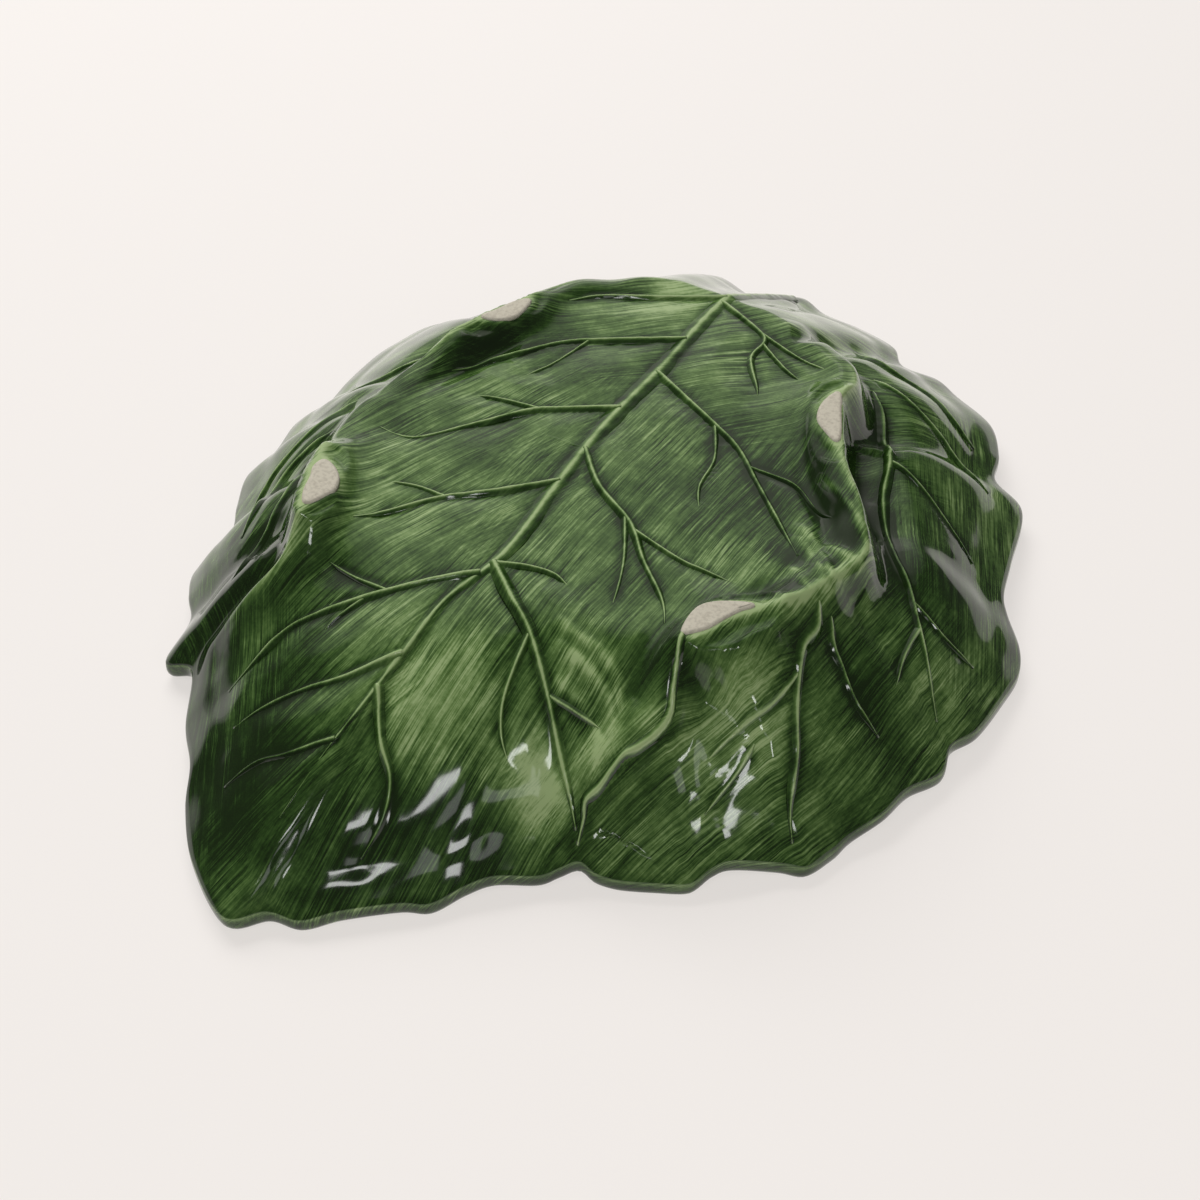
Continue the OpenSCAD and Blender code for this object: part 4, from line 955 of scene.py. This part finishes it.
class LEAFPLATE_OT_stage(bpy.types.Operator):
    """Add the pale floor, the soft lamps and the camera"""

    bl_idname = "leafplate.stage"
    bl_label = "Stage"

    # Each lamp's name, the setting of its power, the way to it, its distance and its sides in metres, and
    # whether gloss mirrors it
    LAMPS = [
        ("key_lamp", "key_power", (-0.55, 0.45, 0.75), 1.4, (1.0, 1.0), False),
        ("fill_lamp", "fill_power", (0.3, -0.8, 0.9), 1.4, (0.9, 0.9), False),
        ("window_lamp", "window_power", (0.671, -0.487, 0.559), 1.0, (0.12, 0.14), True),
        ("lamp_above", "above_power", (0.254, -0.545, 0.799), 1.0, (0.15, 0.06), True),
        ("panel_lamp", "panel_power", (0.448, -0.57, 0.69), 1.0, (0.15, 0.13), True)]
    LAMPS_AIM = (0, 0, 0.03)
    # Soft steps of the room's light, by the height of a ray and by how far it goes to the right: where each
    # begins and ends, and the light there
    HORIZON = [("Z", 0.0, 0.12, 0.7, 0.0), ("X", -0.1, 0.3, 1.0, 0.15)]
    # Soft lights in the room: where each begins and is full, as the cosine of the angle from its way
    GLOWS = [("sheen", 0.948, 0.994), ("haze", 0.62, 0.97)]

    def lamp(self, name, direction, distance, sides, power, mirrored):
        """A soft lamp that faces the plate, and that gloss mirrors or not."""
        deselect()
        aim = Vector(self.LAMPS_AIM)
        spot = aim + Vector(direction).normalized() * distance
        bpy.ops.object.light_add(type="AREA", location=spot)
        lamp = bpy.context.object
        lamp.name = lamp.data.name = name
        lamp.data.shape, lamp.data.energy = "RECTANGLE", power
        lamp.data.size, lamp.data.size_y = sides
        lamp.rotation_mode = "QUATERNION"
        lamp.rotation_quaternion = (spot - aim).to_track_quat("Z", "Y")
        lamp.visible_glossy = mirrored

    def room(self, context):
        """A pale horizon, dim overhead, with a soft sheen behind the leaf and a haze on its left."""
        stage = context.scene.plate_stage
        world = bpy.data.worlds.new("pale_room")
        context.scene.world = world
        world.use_nodes = True
        tree = world.node_tree
        tree.nodes.clear()
        way = add_node(tree, "ShaderNodeTexCoord").outputs["Generated"]
        axes = add_node(tree, "ShaderNodeSeparateXYZ", {0: way}).outputs
        steps = [(axes[axis], *step) for axis, *step in self.HORIZON]
        for name, start, full in self.GLOWS:
            towards = add_node(tree, "ShaderNodeVectorMath", {0: way, 1: getattr(stage, name + "_way")},
                               operation="DOT_PRODUCT").outputs["Value"]
            steps.append((towards, start, full, 0.0, getattr(stage, name)))
        upwards, rightwards, *glows = [
            add_node(tree, "ShaderNodeMapRange", {
                "Value": value, "From Min": start, "From Max": end, "To Min": low, "To Max": high},
                interpolation_type="SMOOTHSTEP") for value, start, end, low, high in steps]
        strength = add_node(tree, "ShaderNodeMath", {0: upwards, 1: rightwards}, operation="MULTIPLY")
        for light in (stage.room_dim, *glows):
            strength = add_node(tree, "ShaderNodeMath", {0: strength, 1: light}, operation="MAXIMUM")
        light = add_node(tree, "ShaderNodeBackground", {
            "Color": (*stage.floor_colour, 1), "Strength": strength})
        add_node(tree, "ShaderNodeOutputWorld", {"Surface": light})

    def execute(self, context):
        stage = context.scene.plate_stage
        deselect()
        bpy.ops.mesh.primitive_plane_add(size=stage.floor_size)
        floor = context.object
        floor.name = floor.data.name = "studio_floor"
        floor.data.materials.append(pale_plaster(stage))

        self.room(context)
        for name, setting, direction, distance, sides, mirrored in self.LAMPS:
            self.lamp(name, direction, distance, sides, getattr(stage, setting), mirrored)

        a, e = stage.view_azimuth, stage.view_elevation
        back = Vector((math.sin(a) * math.cos(e), -math.cos(a) * math.cos(e), math.sin(e)))
        bpy.ops.object.camera_add(location=Vector(stage.view_target) + back * stage.view_distance)
        camera = context.object
        camera.name = camera.data.name = "photo_camera"
        camera.rotation_mode = "QUATERNION"
        camera.rotation_quaternion = back.to_track_quat("Z", "Y")
        camera.data.lens, camera.data.sensor_width = stage.focal_length, 36
        context.scene.camera = camera
        context.scene.view_settings.view_transform = "Standard"
        return {"FINISHED"}


class LEAFPLATE_OT_dish(bpy.types.Operator):
    """Add the ruffled and folded leaf of clay"""

    bl_idname = "leafplate.dish"
    bl_label = "Leaf"

    # Rows of the outer face from the heart to a fold, over the fold and on to the rim
    ROWS_TO_FOLD, ROWS_OVER_FOLD, ROWS_TO_RIM = 26, 42, 34
    # How far the closer rows over a fold reach from its crest, inwards and outwards
    FOLD_BAND = 17 * MM, 21 * MM
    # Rings round the rounded edge: share of the wall inwards, share of the edge upwards, and how thick the
    # glaze lies
    LIP = [(-0.03, 0.9, -0.1), (-0.05, 0.7, 0.2), (-0.04, 0.45, 0.3), (0.02, 0.22, 0.3), (0.14, 0.06, 0.25),
           (0.34, 0, 0.2), (0.6, 0.02, 0.1), (0.82, 0.12, 0.05), (0.95, 0.3, 0.1)]
    # Rings of the eating side, as shares of the way to the rim, and how thick the glaze lies there
    INNER_WAYS = np.array([0.95, 0.88, 0.8, 0.73, 0.67, 0.62, 0.57, 0.51, 0.44, 0.34, 0.2, 0])
    INNER_GLAZE = 0.25
    # How far the brush pattern runs on from each ring of the lip to the next, and how many metres the eating
    # side's stretch of it lies away
    LIP_RUN, INNER_SHIFT = 0.02, 0.5
    # The blade is calm from this share of the way to the rim, within this reach of a crest, and within this
    # height below the pads, and this is how calm it is on a crest
    CALM_WAY, CALM_REACH, CALM_HEIGHT, CREST_CALM = 0.94, 4 * MM, 2 * MM, 0.8
    # A crest is pinched where its rise passes from the first of these shares to the second, with this reach,
    # and the pinch fades within this height below the pads
    PINCH_RISES, PINCH_REACH, PINCH_HEIGHT = (0.3, 0.8), 1.5 * MM, 1 * MM
    # Distances from a pad between which the clay begins to fall away and between which it ends, and the reach
    # of a crest that stays as it is
    APRON_START, APRON_END, APRON_CREST = (0.9 * MM, 4.4 * MM), (11 * MM, 7 * MM), 2.5 * MM
    # How far the blade swells up from a vein's side, where its groove lies, and how far that reaches
    PUFF_REACH, GROOVE_AWAY, GROOVE_REACH = 7 * MM, 0.5 * MM, 1.1 * MM
    # Share of the blade's unevenness that its fine waves add
    FINE_WAVE = 0.06
    # A shallow channel inside the rim: its depth, and its place and reach as shares of the way to the rim
    CHANNEL_DEPTH, CHANNEL_WAY, CHANNEL_REACH = 0.9 * MM, 0.93, 0.035

    def execute(self, context):
        leaf = Leaf(context.scene.plate_sizes)
        rim = self.even_rim(leaf)
        outer, outer_uv, outer_pool_and_painted_light = self.outer_rows(leaf, rim)
        lip, lip_pool = self.lip_rows(leaf, rim)
        inner = self.inner_rows(leaf, rim)
        points = np.concatenate([outer, lip, inner])
        # The brush pattern runs on over the edge, and the eating side has a stretch of it to itself
        lip_uv = np.stack([outer_uv[-1] * (1 + self.LIP_RUN * (i + 1)) for i in range(len(lip))])
        uvs = np.concatenate([outer_uv, lip_uv, leaf.unrolled(inner) + self.INNER_SHIFT])
        pool = np.concatenate([outer_pool_and_painted_light, lip_pool, np.full(inner.shape[:2], self.INNER_GLAZE)])
        creases = [raised_cord(leaf, crease, f"crease_{i}", CREASE_THIN)
                   for i, crease in enumerate(leaf.creases)]
        piece = joined([skin_of("glazed_leaf", points, uvs, pool), *creases])
        finish_piece(piece, "leaf_dish", glaze_of(context))
        return {"FINISHED"}

    @staticmethod
    def even_rim(leaf):
        """The rim in shares, with its points evenly spaced along it."""
        closed = np.vstack([leaf.rim, leaf.rim[:1]])
        way = way_along(leaf.plan(closed))
        return stops_on(closed, way, np.linspace(0, way[-1], leaf.sizes.columns, endpoint=False))

    def outer_rows(self, leaf, rim):
        """Points of the outer face, row by row from the heart to the rim, with their place and pool."""
        z = leaf.sizes
        far = np.linalg.norm(leaf.plan(rim) - leaf.heart, axis=1)
        crest = leaf.crest_way(leaf.bearing(rim))
        first, last = crest - self.FOLD_BAND[0] / far, crest + self.FOLD_BAND[1] / far
        ways = np.concatenate([
            np.linspace(0, first, self.ROWS_TO_FOLD, endpoint=False),
            np.linspace(first, last, self.ROWS_OVER_FOLD, endpoint=False),
            np.linspace(last, 1, self.ROWS_TO_RIM)])
        place = leaf.plan(rim[None, :, :2] * ways[..., None])
        outer, _, s, fold = leaf.faces(place)
        out, rise = fold[..., 0], fold[..., 1] / z.fold_rise
        beside = beside_veins(vein_list(leaf), place)
        uv, pool = leaf.unrolled(place), pool_and_painted_light_by_place(leaf, place, s, fold, beside)
        below = leaf.top - outer
        on_crest = bell(out, self.CALM_REACH) * np.minimum(rise, 1)
        lively = ease(s, 1, self.CALM_WAY) * (1 - self.CREST_CALM * on_crest)
        lively = lively * ease(below, 0, self.CALM_HEIGHT)
        _, near = leaf.beside_creases(place)
        pinch = ease(rise, *self.PINCH_RISES) * bell(out, self.PINCH_REACH) * (1 - near)
        outer = np.minimum(outer + z.fold_pinch * pinch * ease(below, 0, self.PINCH_HEIGHT), leaf.top)
        # The clay falls away round a pad, but not along the crest
        beyond = leaf.beyond_pads(place)
        apron = ease(beyond, *self.APRON_START) * ease(beyond, *self.APRON_END)
        apron = apron * (1 - bell(out, self.APRON_CREST))
        outer = np.minimum(outer, leaf.top - z.pad_apron * apron)
        outer = outer + lively * (
            z.blade_puff * (1 - bell(np.maximum(beside, 0), self.PUFF_REACH))
            - z.groove * bell(beside - self.GROOVE_AWAY, self.GROOVE_REACH)
            + z.blade_wave * (waves(uv, "blade") + self.FINE_WAVE * waves(uv, "fine_blade")))
        outer = outer - self.CHANNEL_DEPTH * bell(s - self.CHANNEL_WAY, self.CHANNEL_REACH)
        outer[0] = outer[0].mean()
        return raised(place, outer), uv, pool

    def lip_rows(self, leaf, rim):
        """Rings round the rounded edge of the clay, with their pool."""
        z = leaf.sizes
        edge = leaf.plan(rim)
        inward = directions(leaf.heart - edge)
        lift = rim[:, 2:] * z.rim_wave
        rows = [np.hstack([edge + inward * across * z.wall, up * z.rim_edge + lift])
                for across, up, _ in self.LIP]
        return np.stack(rows), np.stack([np.full(len(rim), pool) for *_, pool in self.LIP])

    def inner_rows(self, leaf, rim):
        """Points of the eating side, row by row from the rim back to the heart."""
        place = leaf.plan(rim[None, :, :2] * self.INNER_WAYS[:, None, None])
        inner = leaf.faces(place)[1]
        inner[-1] = inner[-1].mean()
        return raised(place, inner)


class LEAFPLATE_OT_veins(bpy.types.Operator):
    """Add the midrib and the branching veins as moulded cords that melt into the leaf"""

    bl_idname = "leafplate.veins"
    bl_label = "Veins"

    def execute(self, context):
        leaf = Leaf(context.scene.plate_sizes)
        for node, group in vein_list(leaf).items():
            piece = joined([raised_cord(leaf, vein, f"{node}_{i}") for i, vein in enumerate(group)])
            piece.name = piece.data.name = "glazed_" + node
            finish_piece(piece, node, glaze_of(context))
        return {"FINISHED"}


class LEAFPLATE_OT_pads(bpy.types.Operator):
    """Add the bare clay pads, ground flat on the crests of the folds"""

    bl_idname = "leafplate.pads"
    bl_label = "Pads"

    # Rings from the middle of a pad, over its edge and back below it: share of the outline, then how many
    # millimetres outwards and down
    RINGS = [(0, 0, 0), (0.35, 0, 0), (0.7, 0, 0), (1, -0.3, 0), (1, 0.1, 0.06), (1, 0.4, 0.25),
             (1, 0.7, 0.6), (1, 0.9, 1.3), (0.5, 0, 1.6), (0, 0, 1.6)]

    def execute(self, context):
        leaf = Leaf(context.scene.plate_sizes)
        clay = bare_clay(context.scene.glaze_colours)
        share, out, down = np.array(self.RINGS).T[..., None]
        for node, outline in leaf.pads.items():
            from_middle = outline - outline.mean(0)
            side = np.roll(outline, -1, 0) - np.roll(outline, 1, 0)
            outward = directions(np.stack([side[:, 1], -side[:, 0]], -1))
            outward *= np.sign((outward * from_middle).sum(1).mean())
            place = outline.mean(0) + share[..., None] * from_middle + out[..., None] * MM * outward
            height = np.repeat(leaf.sizes.foot_height - down * MM, len(outline), 1)
            no_glaze = np.zeros(height.shape)
            piece = skin_of("bare_" + node, raised(place, height), leaf.unrolled(place), no_glaze)
            finish_piece(piece, node, clay)
        return {"FINISHED"}


class LEAFPLATE_PT_panel(bpy.types.Panel):
    """Buttons and sizes of the leaf plate"""

    bl_label = "Leaf plate"
    bl_space_type = "VIEW_3D"
    bl_region_type = "UI"
    bl_category = "Leaf plate"

    def draw(self, context):
        for operator in OPERATORS:
            self.layout.operator(operator.bl_idname)
        for group in (context.scene.plate_sizes, context.scene.glaze_colours, context.scene.plate_stage):
            box = self.layout.box()
            for name in group.__annotations__:
                box.prop(group, name)


OPERATORS = (LEAFPLATE_OT_stage, LEAFPLATE_OT_dish, LEAFPLATE_OT_veins, LEAFPLATE_OT_pads)
CLASSES = (PlateSizes, GlazeColours, StageSettings, *OPERATORS, LEAFPLATE_PT_panel)


def register():
    """Adds the classes and their settings."""
    for cls in CLASSES:
        bpy.utils.register_class(cls)
    bpy.types.Scene.plate_sizes = PointerProperty(type=PlateSizes)
    bpy.types.Scene.glaze_colours = PointerProperty(type=GlazeColours)
    bpy.types.Scene.plate_stage = PointerProperty(type=StageSettings)


def unregister():
    """Takes the classes and their settings away."""
    del bpy.types.Scene.plate_stage, bpy.types.Scene.glaze_colours, bpy.types.Scene.plate_sizes
    for cls in reversed(CLASSES):
        bpy.utils.unregister_class(cls)


def main():
    """Builds the whole plate on its stage."""
    register()
    bpy.ops.leafplate.stage()
    bpy.ops.leafplate.dish()
    bpy.ops.leafplate.veins()
    bpy.ops.leafplate.pads()
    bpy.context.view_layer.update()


if __name__ == "__main__":
    main()
